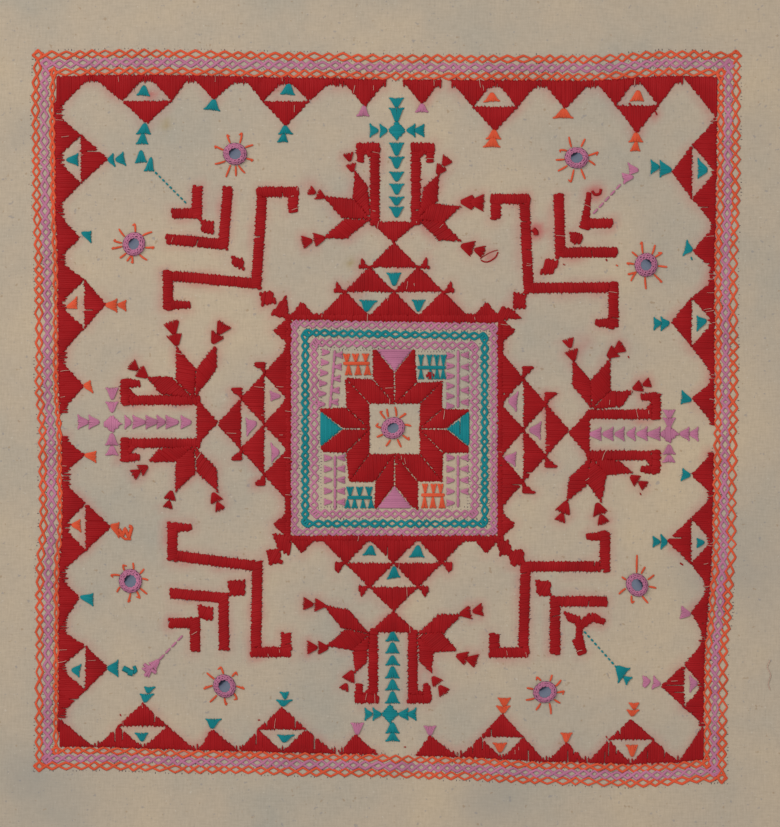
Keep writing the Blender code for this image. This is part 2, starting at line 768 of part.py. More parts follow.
def make_stems():
    """A stem of small triangles between a palm's bars, ending in a cross of triangles and a lozenge."""
    for side, axis, start, cross, look in STEMS:
        pitch = (cross - CROSS_HALF - start) / STEM_COUNT
        ahead = Vector(place(side, 0, 1))
        across = Vector((ahead.y, -ahead.x))
        shapes = []
        for i in range(STEM_COUNT):
            apex = Vector(place(side, axis, start + i * pitch))
            shapes.append(small_triangle(apex, ahead, STEM_HALF, pitch))
        heart = Vector(place(side, axis, cross))
        shapes.append([tuple(heart + d * (CROSS_HALF + POINT_LAP)) for d in (ahead, across, -ahead, -across)])
        for direction in (ahead, across, -across):
            for i in range(2):
                apex = heart + direction * (CROSS_HALF + i * CROSS_PITCH)
                shapes.append(small_triangle(apex, direction, STEM_HALF, CROSS_PITCH))
        plate("stem_" + side, shapes, look)


def make_hooks():
    for name, elbow_x, elbow_y, up_x, up_y, level_x, level_y in HOOKS:
        elbow, up, level = (elbow_x, elbow_y), (up_x, up_y), (level_x, level_y)
        rise = math.copysign(1, up_y - elbow_y)
        run = math.copysign(1, level_x - elbow_x)
        half = HOOK_BAR / 2
        shapes = [
            bar((elbow_x, elbow_y - rise * half), up, HOOK_BAR),
            bar((elbow_x - run * half, elbow_y), level, HOOK_BAR),
        ]
        if name in HOOK_ENDS:
            bar_length, leg, drop, toe = HOOK_ENDS[name]
            corner = (up_x - run * bar_length, up_y)
            shapes.append(bar((up_x + run * half, up_y), (corner[0] - run * half, up_y), HOOK_BAR))
            shapes.append(bar(corner, (corner[0], up_y - rise * leg), HOOK_BAR))
            knee = (level_x, level_y - rise * drop)
            shapes.append(bar((level_x, level_y + rise * half), (level_x, knee[1] - rise * half), HOOK_BAR))
            shapes.append(bar(knee, (level_x - run * toe, knee[1]), HOOK_BAR, HOOK_TOE))
        plate(name, shapes, "red_floss")


def make_mirrors():
    """Round glasses, each held down by a turned ring of thread whose lip laps over its rim."""
    wall = GLASS_RADIUS + WORK_GAP
    lip = GLASS_THICK + WORK_GAP
    profile = (
        (RING_OUTER - RING_SLOPE, RING_HEIGHT),
        (RING_OUTER, RING_HEIGHT - RING_SLOPE),
        (RING_OUTER, 0.0),
        (wall, 0.0),
        (wall, lip),
        (RING_MOUTH, lip),
        (RING_MOUTH, RING_HEIGHT),
    )
    for number, (x, y) in enumerate(MIRRORS, start=1):
        glass = bmesh.new()
        bmesh.ops.create_cone(
            glass,
            cap_ends=True,
            segments=ROUND_SIDES,
            radius1=GLASS_RADIUS * MM,
            radius2=GLASS_RADIUS * MM,
            depth=GLASS_THICK * MM,
        )
        mesh = bpy.data.meshes.new(f"mirror_{number}")
        glass.to_mesh(mesh)
        glass.free()
        disc = add_object(f"mirror_{number}", mesh, "mirror_glass")
        disc.location = (x * MM, y * MM, (WORK_BOTTOM + GLASS_THICK / 2) * MM)

        mesh = bpy.data.meshes.new(f"mirror_ring_{number}")
        count = len(profile)
        loop = [(i, (i + 1) % count) for i in range(count)]
        mesh.from_pydata([(r * MM, 0.0, z * MM) for r, z in profile], loop, [])
        ring = add_object(f"mirror_ring_{number}", mesh, "mauve_floss")
        ring.location = (x * MM, y * MM, WORK_BOTTOM * MM)
        turn = ring.modifiers.new("turn", "SCREW")
        turn.steps = ROUND_SIDES
        turn.render_steps = ROUND_SIDES
        turn.use_merge_vertices = True
        turn.merge_threshold = 0.0001


def main():
    clear_scene()
    group = bpy.data.collections.new("embroidered_rumal")
    bpy.context.scene.collection.children.link(group)
    make_cloth()
    make_border_bands()
    make_zigzag()
    make_surround()
    make_medallion_bands()
    make_star()
    make_palms()
    make_stems()
    make_hooks()
    make_mirrors()


main()
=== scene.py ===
"""Looks of an embroidered rumal: cotton cloth, floss satin stitch, laced bands and sewn-on mirrors."""

import math
import random

import bmesh
import bpy
import numpy as np
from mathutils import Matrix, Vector, kdtree, noise


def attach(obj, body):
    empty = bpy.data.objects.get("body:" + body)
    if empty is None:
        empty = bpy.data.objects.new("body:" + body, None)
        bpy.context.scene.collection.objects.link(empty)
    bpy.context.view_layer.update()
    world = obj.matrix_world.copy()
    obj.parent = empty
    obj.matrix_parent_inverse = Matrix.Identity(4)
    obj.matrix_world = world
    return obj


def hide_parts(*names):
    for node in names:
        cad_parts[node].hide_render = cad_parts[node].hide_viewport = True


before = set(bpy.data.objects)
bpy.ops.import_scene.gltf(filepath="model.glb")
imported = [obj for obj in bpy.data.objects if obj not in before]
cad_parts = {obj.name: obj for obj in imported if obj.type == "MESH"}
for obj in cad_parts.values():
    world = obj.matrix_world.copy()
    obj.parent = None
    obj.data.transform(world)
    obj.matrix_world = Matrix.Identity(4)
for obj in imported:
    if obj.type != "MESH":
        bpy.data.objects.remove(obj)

bl_info = {
    "name": "Embroidered rumal",
    "version": (1, 0, 0),
    "blender": (4, 5, 0),
    "location": "View3D > Sidebar > Rumal",
    "description": "Sews an embroidered rumal round its solids",
    "category": "Object",
}

MM = 0.001
PHOTO_WIDE, PHOTO_HIGH = 780, 827
PIXEL = 0.455  # millimetres of cloth in one pixel of the photograph

# The cloth, in millimetres, as in the solids
CLOTH_HALF_WIDTH = 200.0
CLOTH_HALF_LENGTH = 210.0
CLOTH_THICK = 1.2
HEM_WIDTH = 7.0
HEM_THICK = 2.0
EDGE_DRAW_IN = 1.6
RIM_CURL = 1.0
FLAT_HALF_WIDTH = 166.0
FLAT_HALF_LENGTH = 174.0

BAND_HALF = 1.5
WORK_GAP = 0.3
# Border bands: name, look, rank from outside, length of one eye, half width, thread thickness, and how
# sharply the threads turn (1 is straight between turns, less is rounder)
BORDER_BANDS = (
    ("band_outer", "orange", 0, 5.9, 1.8, 1.08, 1.0),
    ("band_middle", "mauve", 1, 5.0, 1.85, 1.24, 1.0),
    ("band_inner", "orange", 2, 5.8, 1.75, 1.08, 1.0),
)

# Where the centre line of the outermost band runs: (place along the side, distance from the middle)
BORDER_RUN = {
    "top": (
        (-160, 163.0),
        (-118, 163.8),
        (-32, 162.4),
        (-5, 161.5),
        (50, 161.3),
        (91, 161.1),
        (128, 163.3),
        (157, 162.7),
    ),
    "right": (
        (163, 157.4),
        (97, 157.0),
        (74, 156.1),
        (15, 156.1),
        (-62, 155.2),
        (-85, 153.6),
        (-112, 151.4),
        (-166, 150.9),
    ),
    "bottom": (
        (-160, 160.3),
        (-132, 160.2),
        (-86, 161.8),
        (-18, 163.3),
        (27, 164.7),
        (73, 167.0),
        (114, 168.1),
        (151, 165.8),
    ),
    "left": (
        (163, 160.2),
        (143, 161.3),
        (97, 160.8),
        (60, 159.7),
        (11, 159.6),
        (-8, 158.1),
        (-53, 157.7),
        (-70, 159.3),
        (-160, 159.6),
    ),
}
BAND_PITCH = {"top": 3.95, "right": 3.4, "bottom": 3.4, "left": 3.8}
# Sides on which a band's lacing was pulled tighter or looser, as a share of its half width
PULLED_LACE = {("band_inner", "left"): 0.66, ("band_outer", "right"): 1.2}
# How far the zigzag's foot reaches out under a tighter band, in millimetres
FOOT_TUCK = {"left": 0.7}

# Big peaks of the zigzag, three triangles each: (side, start, tip, end, row, reach)
BIG_PEAKS = (
    ("top", -136.0, -110.6, -91.0, 142.2, 131.7),
    ("top", -66.9, -47.3, -25.0, 142.0, 130.8),
    ("top", 27.8, 47.8, 68.3, 139.5, 128.5),
    ("top", 93.7, 112.4, 132.4, 140.1, 127.6),
    ("right", 134.0, 109.9, 85.3, 137.4, 128.3),
    ("right", 60.7, 41.6, 16.6, 137.2, 127.9),
    ("right", -38.0, -58.0, -79.4, 137.0, 126.0),
    ("right", -103.1, -124.0, -141.3, 133.8, 123.3),
    ("bottom", -133.3, -112.4, -88.7, 142.2, 131.7),
    ("bottom", -68.3, -49.1, -25.0, 143.8, 133.5),
    ("bottom", 31.9, 51.0, 70.5, 147.2, 136.7),
    ("bottom", 90.1, 109.7, 130.6, 148.3, 139.0),
    ("left", 136.7, 115.8, 93.0, 140.6, 128.3),
    ("left", 69.8, 49.8, 25.7, 139.0, 129.2),
    ("left", -30.3, -51.6, -73.0, 138.5, 126.9),
    ("left", -98.1, -115.8, -138.1, 138.5, 128.3),
)

# Small peaks, one triangle each: (side, start, tip, end, reach)
SMALL_PEAKS = (
    ("top", -90.1, -80.1, -68.3, 142.6),
    ("top", -22.3, -11.4, -1.8, 139.5),
    ("top", 5.9, 14.6, 23.2, 140.4),
    ("top", 69.2, 79.6, 91.9, 138.5),
    ("right", 85.3, 73.9, 65.3, 137.4),
    ("right", 15.2, 7.1, -5.2, 137.4),
    ("right", -17.5, -28.0, -36.6, 137.0),
    ("right", -80.3, -90.3, -102.1, 137.0),
    ("bottom", -86.9, -81.0, -69.2, 143.6),
    ("bottom", -22.8, -15.9, -5.9, 145.8),
    ("bottom", 11.8, 18.2, 30.5, 146.3),
    ("bottom", 71.9, 80.5, 89.2, 149.5),
    ("left", 92.1, 79.9, 69.8, 141.1),
    ("left", 24.8, 12.5, 0.2, 139.2),
    ("left", -10.2, -18.9, -27.5, 138.8),
    ("left", -74.4, -83.9, -97.6, 141.1),
)

# Stretches of each side on which the zigzag has a foot
ZIGZAG_RUNS = (
    ("top", -141.0, -1.8),
    ("top", 5.9, 23.2),
    ("top", 27.8, 133.3),
    ("right", 134.5, -5.2),
    ("right", -17.5, -142.2),
    ("bottom", 131.5, 11.8),
    ("bottom", -5.9, -135.1),
    ("left", 142.5, 0.2),
    ("left", -10.2, -138.6),
)
# Short stitches along the zigzag's foot: how deep, and how long a stretch is taken at a time
FOOT_DEPTH = {"top": 3.1, "right": 2.2, "bottom": 2.2, "left": 3.5}
FOOT_STEP = 9.0
PEAK_GAPS = {"top": 0.006, "right": 0.02, "bottom": 0.05, "left": 0.01}
FOOT_COVER = {"top": 0.6, "right": 0.5, "bottom": 0.34, "left": 0.5}
FOOT_SPREAD = {"top": 1.1, "right": 1.3, "bottom": 1.6, "left": 1.3}
# Corner triangles: (level side, place where it ends, upright side, place where it ends)
ZIGZAG_CORNERS = (
    ("top", -136.0, "left", 136.7),
    ("top", 133.3, "right", 134.5),
    ("bottom", 131.5, "right", -142.2),
    ("bottom", -135.1, "left", -138.6),
)

# Pyramids outside the medallion: side, middle along the side, row height, pitch of the peaks
PYRAMIDS = (
    ("top", 1.8, 11.1, 22.3),
    ("right", -7.5, 10.2, 23.4),
    ("bottom", 1.6, 10.9, 21.8),
    ("left", -4.8, 10.55, 23.0),
)
# Barbs at the ends of the pyramids' rows: corners as steps along and out from the row's end
BARBS = {
    "top": ((-1.5, -0.7), (4.8, -0.7), (3.6, 5.0), (1.2, 0.9)),
    "right": ((-1.2, -0.7), (5.3, -0.8), (4.9, 5.2), (1.6, 1.2)),
    "bottom": ((-1.5, -0.7), (4.8, -0.7), (4.0, 5.4), (1.2, 0.9)),
    "left": ((-1.0, -0.5), (5.0, -0.8), (4.4, 5.5), (1.1, 0.9)),
}
# One satin stitch: how far in its ends dip at most, and the breadth and height of each of its rings
STITCH_RINGS = 6
STITCH_DIP = 0.9
RING_SWELLS = (0.22, 0.6, 1.0, 1.0, 0.6, 0.22)
RING_LEVELS = (-0.22, -0.02, 0.13, 0.13, -0.02, -0.22)
# Stitches that fill a shape: how far a row and an end may stray, as a share of the pitch and in
# millimetres, the shortest stitch that is laid, and its width as a share of the pitch
ROW_STRAY = 0.15
END_STRAY = 0.12
SHORTEST_STITCH = 0.55
FLOSS_WIDTHS = (1.6, 2.0)
# A small triangle: from one of its stitches to the next, and the fewest that it has
FAN_PITCH = 0.85
FAN_FEWEST = 4
# Peaks that fill the corners of the zigzag
CORNER_PEAK_HALF = 5.4
CORNER_PEAK_HEIGHT = 6.6
# Lacing: half width, steps to an eye, flatness of a thread and its rise where two cross, by how much
# the eyes' lengths, their half widths and the thread vary, how far a side's lines run past their
# corner, and the number of points along them
LACE_HALF = 1.7
LACE_STEPS = 6
LACE_FLATNESS = 0.42
LACE_CROSSING = 0.12
EYE_STRAY = (0.75, 1.25)
SWAY_STRAY = (0.8, 1.14)
THREAD_STRAY = (0.8, 1.2)
SIDE_SPARE = 2.7
SIDE_STEPS = 60
FRAME_SPARE = 0.9
FRAME_DROP = 1.6  # how far the top side of the medallion's frame runs down to the right
# Needle holes, laid as small dark discs of painted shade: share of the satin stitches whose end shows one,
# and for the bands the step and the share
MARKED_ENDS = 0.46
BORDER_HOLES = (1.5, 0.4)
MEDALLION_HOLES = (1.4, 0.45)
# A needle hole's disc of painted shade: its half length along the pull and half width across it, its height
# over the cloth and thickness
HOLE_LENGTHS = (0.14, 0.22)
HOLE_WIDTHS = (0.25, 0.6)
HOLE_RISE = 0.05
HOLE_THICK = 0.12
# Breadth of the red strip on each side of the medallion
SURROUND_STRIP = 2.2

# Lacing of the medallion's bands: length of one eye, half width, thread and sharpness as above
MEDALLION_LACE = {
    "medallion_band_outer": (3.8, 1.65, 1.05, 0.95),
    "medallion_band_middle": (4.1, 1.5, 1.28, 0.8),
    "medallion_band_inner": (4.0, 1.8, 1.06, 0.95),
}
# Laced bands inside the medallion: (name, look, left, right, top, bottom of the centre line)
MEDALLION_BANDS = (
    ("medallion_band_outer", "mauve", -43.4, 47.3, 41.0, -53.9),
    ("medallion_band_middle", "teal", -38.6, 43.0, 36.8, -50.1),
    ("medallion_band_inner", "mauve", -34.5, 38.5, 32.4, -45.7),
)
STAR_X = 2.1
STAR_Y = -7.0
STAR_SIDE = 11.2
STAR_REACH = {"top": 3.2, "bottom": 3.2, "left": 3.0, "right": 3.0}
# Corners of the star that the work has drawn out of true: (steps across and up, then millimetres moved)
STAR_DRAWN = (
    (-2, 2, -0.2, 1.0),
    (2, 2, -0.6, -0.7),
    (-2, -2, 1.5, -2.0),
    (2, -2, -0.6, -1.6),
    (-1, 2, 1.1, 0.4),
    (1, 2, -0.8, -1.1),
    (-1, -2, 2.0, -2.0),
    (1, -2, -0.2, -2.0),
    (-2, 1, 0.0, -1.2),
    (2, 1, -0.4, -1.9),
    (-3, 1, 0.2, -1.9),
    (3, 1, -0.2, -2.2),
    (-3, -1, 1.2, 0.4),
    (-1, 3.2, 1.1, 0.0),
    (1, 3.2, -1.8, -0.4),
    (-1, -3.2, 2.0, -0.4),
    (1, -3.2, -0.2, -0.8),
)
TICKS_ASIDE = 3.1
TICKS_STEP = 1.35
WEDGE_DEPTH = 0.9
WEDGE_HALF = 0.72

# Palms: side, axis along the side, base tip, bar reach, then for each of the two bars its distance from
# the axis and how far its foot stands out from it
PALMS = (
    ("top", 1.8, 77.6, 45.5, 8.7, 6.4, 10.0, 6.4),
    ("right", -8.9, 81.2, 41.9, 10.2, 6.4, 8.6, 7.8),
    ("bottom", 1.5, 89.9, 41.9, 9.1, 6.4, 8.9, 6.4),
    ("left", -3.9, 78.3, 44.3, 9.6, 6.4, 10.0, 7.6),
)
PALM_BASE_HEIGHT = 9.6
PALM_BASE_HALF = 10.6
PALM_BAR = 4.3
PALM_TOE = (4.2, 2.8)
PALM_CORNER = 2.2
PALM_KNEE = 1.7
PALM_FOOT_DOWN = 8.6
LEAF_ROOT = (10.6, 10.6)
# Leaf tips, as (side, hand, then out and across for each of the three leaves)
LEAF_TIPS = (
    ("top", -1, 31.9, 17.3, 20.9, 31.4, 2.7, 31.4),
    ("top", 1, 30.5, 20.0, 16.4, 29.6, 1.4, 29.6),
    ("right", 1, 28.2, 19.1, 18.7, 33.2, 2.3, 32.3),
    ("right", -1, 28.2, 17.7, 14.6, 30.5, -0.5, 30.5),
    ("bottom", -1, 27.3, 17.3, 15.5, 29.6, -2.3, 30.9),
    ("bottom", 1, 27.3, 17.3, 17.7, 28.7, 1.8, 30.5),
    ("left", 1, 31.4, 20.0, 18.7, 33.2, 0.9, 34.6),
    ("left", -1, 30.9, 17.7, 19.1, 30.9, 0.5, 30.9),
)
LEAF_BELLIES = ((0.63, 3.9, 0.47, 5.4), (0.42, 5.7, 0.48, 5.7), (0.48, 5.0, 0.56, 4.8))
# Leaves nearest the bars that swell otherwise: (place and size of the inner belly, then of the outer)
OWN_BELLIES = {
    ("right", 1): (0.62, 5.3, 0.54, 4.6),
    ("right", -1): (0.61, 3.2, 0.45, 6.2),
    ("left", 1): (0.63, 4.9, 0.56, 5.3),
    ("left", -1): (0.7, 4.4, 0.4, 5.0),
}
LEAF_STRETCH = 1.07
LEAF_SEAM = 0.4
LEAF_TURN = 62

# Corner hooks: (name, elbow x and y, upright arm's end x and y, level arm's end x and y, slant)
HOOKS = (
    ("hook_large_top_left", -61.0, 59.2, -58.2, 100.8, -101.0, 62.6, 8),
    ("hook_large_top_right", 63.2, 57.1, 61.2, 97.6, 101.7, 57.3, -8),
    ("hook_large_bottom_left", -60.3, -69.4, -61.0, -108.5, -99.0, -64.8, 14),
    ("hook_large_bottom_right", 61.7, -69.6, 60.7, -108.7, 97.8, -69.6, 10),
    ("hook_middle_top_left", -76.0, 77.1, -73.7, 103.1, -101.9, 79.4, 16),
    ("hook_middle_top_right", 77.6, 73.3, 76.7, 99.9, 103.3, 73.3, -10),
    ("hook_middle_bottom_left", -75.8, -83.9, -75.5, -107.6, -100.1, -81.7, 26),
    ("hook_middle_bottom_right", 75.1, -85.5, 75.1, -109.4, 98.7, -85.5, 12),
    ("hook_small_top_left", -88.0, 91.0, -87.6, 103.5, -99.2, 91.0, 12),
    ("hook_small_bottom_left", -88.7, -95.3, -88.7, -108.1, -100.6, -95.3, 20),
)
# Bars of the two small hooks sewn out of true: both ends' x and y, both widths, and slant
BENT_BARS = (
    (88.5, 84.2, 90.6, 100.3, 4.6, 1.9, -14),
    (88.6, 86.4, 101.0, 86.6, 4.5, 4.3, 100),
    (85.1, -97.6, 91.9, -92.4, 3.4, 4.2, 60),
    (91.4, -92.3, 97.4, -95.0, 4.4, 2.4, 100),
    (86.2, -96.0, 86.0, -103.4, 3.0, 3.4, 10),
    (85.2, -102.4, 87.6, -109.4, 5.2, 4.2, 20),
)
# Turned-in ends of the large hooks: (upright arm's bar and leg, level arm's leg and foot)
HOOK_ENDS = {
    "hook_large_top_left": (14.1, 9.1, 13.2, 10.0),
    "hook_large_top_right": (13.0, 9.1, 16.1, 8.0),
    "hook_large_bottom_left": (13.7, 8.6, 12.9, 8.5),
    "hook_large_bottom_right": (13.2, 8.4, 13.6, 8.2),
}
HOOK_BAR = 4.6
HOOK_SLACK = 0.2

# Mirrors, by the middle of each glass
MIRRORS = (
    (-70.5, 118.1),
    (84.9, 116.3),
    (-116.5, 77.1),
    (116.5, 67.6),
    (1.4, -6.6),
    (-118.1, -76.2),
    (112.4, -78.0),
    (-75.3, -124.0),
    (70.5, -126.7),
)
# Which way each glass's shaded side leans from straight up, in degrees, clockwise
SHADE_LEANS = (-40, -35, -45, 40, -30, -50, 60, -40, -30)
GLASS_SEEN = 3.6
GLASS_BOTTOM = 1.5
GLASS_THICK = 1.0
# Thread rings: steps round, stitches, how much they are squashed, the mouth's radius, top and purl
# (thickness, waves and their size), and the slant and thickness of their stitches
RING_STEPS = 56
RING_STITCHES = 17
RING_SQUASH = (0.86, 0.98)
RING_MOUTH = (2.95, 3.25)
RING_TOP = 2.9
MOUTH_PURL = (0.36, 11, 0.16)
RING_SLANTS = (0.12, 0.42)
RING_THREADS = (0.3, 0.42)
# Where each glass's and each ring's random numbers start
GLASS_SEED = 70
RING_SEED = 80
# Threads that run round under a ring and over it, in the darker shaded mauve as painted shade: radius,
# height, thickness, waves and their size
RING_DEPTHS = (
    (3.75, 2.2, 0.62, 3, 0.05),
    (4.3, 2.0, 0.62, 3, 0.05),
    (4.8, 1.75, 0.62, 3, 0.05),
)
RING_PURLS = (
    (3.9, 3.0, 0.38, 9, 0.2),
    (4.75, 2.25, 0.42, 13, 0.22),
)
# The climb of a ring's stitch to the mouth: share of its slant, radius and height
RING_CLIMB = (
    (0.0, 5.3, 1.3),
    (0.25, 4.9, 2.2),
    (0.6, 4.2, 2.9),
    (0.85, 3.6, 3.15),
)
HOOKED_RAYS = 0.5
RAY_START = 5.5
# Outer ends of the rays round each mirror, in photograph pixels
RAYS = (
    (227, 135, 242, 133, 253, 145, 253, 160, 245, 173, 236, 176, 226, 177, 215, 164, 215, 146),
    (569, 137, 585, 139, 598, 152, 595, 165, 585, 179, 571, 182, 558, 171, 556, 160, 560, 150),
    (119, 229, 135, 224, 152, 232, 154, 247, 147, 260, 133, 263, 127, 261, 120, 258, 112, 249, 114, 241),
    (642, 242, 655, 245, 662, 253, 667, 267, 662, 282, 646, 289, 631, 281, 628, 274, 627, 263, 632, 252),
    (380, 412, 387, 409, 395, 407, 406, 414, 411, 426, 409, 440, 401, 447, 386, 446, 377, 437, 376, 426),
    (123, 565, 133, 563, 144, 569, 148, 580, 147, 594, 140, 598, 128, 602, 117, 592, 111, 575),
    (637, 555, 645, 567, 654, 575, 656, 588, 648, 603, 632, 603, 619, 594, 622, 577),
    (221, 667, 236, 672, 244, 689, 237, 699, 226, 705, 210, 702, 204, 689, 207, 673),
    (537, 677, 552, 675, 561, 680, 564, 691, 560, 703, 551, 714, 536, 710, 526, 700, 527, 688),
)

# Small lone triangles: look, point x and y, then both ends of the base, in photograph pixels
TRIANGLES = (
    ("teal", 145, 124, 136, 134, 151, 134),
    ("teal", 143, 134, 136, 144, 148, 144),
    ("teal", 214, 100, 204, 109, 220, 111),
    ("teal", 285, 126, 278, 134, 293, 134),
    ("teal", 284, 134, 277, 142, 288, 142),
    ("mauve", 364, 106, 357, 116, 369, 116),
    ("mauve", 422, 104, 415, 112, 428, 112),
    ("orange", 494, 130, 486, 139, 501, 139),
    ("orange", 493, 138, 483, 147, 500, 147),
    ("orange", 564, 109, 553, 118, 573, 118),
    ("orange", 636, 133, 629, 142, 643, 142),
    ("orange", 636, 142, 630, 151, 640, 151),
    ("teal", 671, 170, 660, 160, 660, 177),
    ("teal", 659, 167, 651, 160, 651, 174),
    ("teal", 692, 250, 687, 240, 683, 256),
    ("teal", 669, 323, 661, 317, 661, 331),
    ("teal", 661, 323, 654, 317, 654, 330),
    ("teal", 691, 400, 682, 390, 681, 404),
    ("teal", 690, 475, 683, 468, 681, 481),
    ("teal", 667, 542, 661, 534, 661, 549),
    ("teal", 660, 542, 653, 536, 653, 547),
    ("mauve", 690, 614, 682, 606, 680, 619),
    ("mauve", 660, 684, 654, 676, 652, 689),
    ("mauve", 650, 681, 643, 676, 643, 686),
    ("teal", 145, 702, 140, 694, 154, 694),
    ("teal", 148, 693, 144, 687, 155, 687),
    ("teal", 212, 728, 206, 719, 221, 719),
    ("teal", 283, 706, 276, 700, 292, 700),
    ("teal", 285, 699, 280, 692, 289, 692),
    ("mauve", 357, 734, 351, 723, 364, 723),
    ("mauve", 430, 735, 424, 726, 436, 726),
    ("orange", 503, 713, 496, 706, 510, 706),
    ("orange", 504, 706, 498, 698, 511, 698),
    ("orange", 566, 742, 561, 733, 572, 733),
    ("orange", 632, 716, 627, 710, 639, 710),
    ("orange", 634, 709, 629, 703, 639, 703),
    ("teal", 108, 160, 113, 153, 115, 167),
    ("teal", 116, 160, 123, 152, 126, 166),
    ("teal", 82, 233, 91, 231, 91, 243),
    ("orange", 106, 305, 117, 299, 117, 312),
    ("orange", 118, 305, 126, 300, 126, 311),
    ("orange", 84, 386, 90, 380, 93, 393),
    ("orange", 85, 455, 96, 451, 96, 463),
    ("orange", 111, 526, 119, 522, 119, 538),
    ("teal", 81, 597, 93, 593, 93, 606),
    ("teal", 108, 668, 118, 660, 118, 677),
    ("teal", 144, 86, 137, 95, 150, 96),
    ("teal", 289, 84, 280, 94, 295, 95),
    ("orange", 492, 93, 484, 102, 500, 101),
    ("orange", 638, 91, 630, 101, 644, 101),
    ("teal", 707, 170, 698, 158, 698, 179),
    ("teal", 706, 321, 697, 316, 697, 331),
    ("teal", 704, 542, 697, 538, 697, 548),
    ("mauve", 697, 683, 690, 676, 690, 692),
    ("teal", 142, 741, 135, 733, 148, 733),
    ("teal", 284, 742, 277, 735, 294, 735),
    ("orange", 500, 752, 493, 743, 507, 743),
    ("orange", 632, 756, 626, 745, 638, 745),
    ("teal", 67, 160, 78, 153, 78, 166),
    ("orange", 67, 307, 77, 297, 77, 309),
    ("orange", 72, 525, 80, 519, 81, 532),
    ("teal", 72, 670, 81, 664, 79, 677),
    ("teal", 141, 151, 135, 163, 147, 162),
    ("teal", 151, 158, 144, 171, 154, 171),
    ("mauve", 638, 170, 628, 163, 630, 175),
    ("mauve", 633, 177, 622, 173, 624, 184),
    ("mauve", 159, 660, 149, 663, 156, 671),
    ("mauve", 152, 666, 142, 668, 149, 677),
    ("teal", 617, 667, 630, 668, 618, 683),
    ("teal", 624, 677, 632, 677, 626, 685),
    ("teal", 366, 311, 360, 300, 377, 301),
    ("teal", 418, 311, 412, 300, 425, 300),
    ("teal", 394, 285, 387, 273, 401, 273),
    ("mauve", 280, 396, 270, 391, 271, 401),
    ("mauve", 279, 452, 271, 443, 272, 462),
    ("mauve", 256, 423, 246, 418, 247, 436),
    ("mauve", 509, 401, 518, 392, 516, 411),
    ("mauve", 505, 458, 516, 452, 515, 466),
    ("mauve", 530, 430, 541, 421, 540, 439),
    ("teal", 371, 546, 363, 555, 376, 555),
    ("teal", 418, 546, 409, 557, 424, 557),
    ("teal", 394, 567, 387, 579, 400, 577),
)

# Stems inside the palms, in photograph pixels: the line that the triangles stand on, each triangle's
# point and base along it, the lozenge, and the points and bases of the cross's two arms
STEMS = (
    {
        "side": "top",
        "look": "teal",
        "line": 396.5,
        "half": 7.5,
        "stem": (217, 207, 205, 197, 194, 184, 181, 172, 168, 157, 155, 143, 121, 108, 107, 98),
        "heart": (397, 130.5),
        "arms": (387, 380, 378, 370, 407, 415, 415, 424),
    },
    {
        "side": "bottom",
        "look": "teal",
        "line": 392.5,
        "half": 7.0,
        "stem": (632, 641, 643, 653, 656, 665, 667, 678, 680, 690, 692, 703, 723, 733, 733, 741),
        "heart": (390, 714),
        "arms": (381, 373, 372, 365, 399, 408, 408, 416),
    },
    {
        "side": "left",
        "look": "mauve",
        "line": 422.0,
        "half": 7.0,
        "stem": (191, 181, 178, 166, 165, 157, 157, 146, 145, 133, 131, 125, 99, 89, 88, 78),
        "heart": (112, 424),
        "arms": (412, 402, 399, 388, 434, 445, 446, 455),
    },
    {
        "side": "right",
        "look": "mauve",
        "line": 434.0,
        "half": 7.0,
        "stem": (590, 601, 603, 613, 615, 624, 627, 635, 637, 647, 648, 660, 680, 689, 690, 698),
        "heart": (669, 434),
        "arms": (427, 418, 418, 410, 445, 454, 455, 462),
    },
)
HEART_HALF = 9.5

# Pairs of small triangles on the palms' leaf tips: (inner x and y, outer x and y, their sizes), pixels
LEAF_BOWS = (
    (351.5, 167.5, 349, 157, 10, 10),
    (320.5, 195.5, 312, 191.5, 10, 9),
    (319, 239, 307, 241.5, 13, 12),
    (440, 170, 446, 161.5, 11, 11),
    (467.5, 202, 477.5, 202.5, 15, 16),
    (467.5, 247.5, 479.5, 251, 15, 12),
    (350, 676, 345, 687, 13, 9),
    (323, 647.5, 312, 647.5, 12, 12),
    (319.5, 605, 308, 604, 12, 12),
    (435.5, 680.5, 442.5, 690, 11, 12),
    (462, 657, 472, 660, 13, 13),
    (465.5, 613, 478, 610.5, 13, 12),
    (142.5, 373.5, 134, 366.5, 13, 11),
    (175.5, 339.5, 172.5, 327.5, 14, 15),
    (215.5, 338.5, 221.5, 328.5, 13, 14),
    (143.5, 468.5, 136, 473, 11, 10),
    (170.5, 495.5, 168.5, 504.5, 11, 9),
    (215, 497.5, 219, 506.5, 12, 10),
    (637.5, 387, 647, 383.5, 11.5, 10),
    (612, 353.5, 619, 348.5, 12.5, 12.5),
    (572.5, 355, 569, 343, 13, 11),
    (634.5, 479, 642.5, 484.5, 11, 10),
    (599, 509, 602.5, 519.5, 14, 11),
    (564.5, 507.5, 561, 517.5, 14, 10.5),
)
BOW_BULGE = 0.06

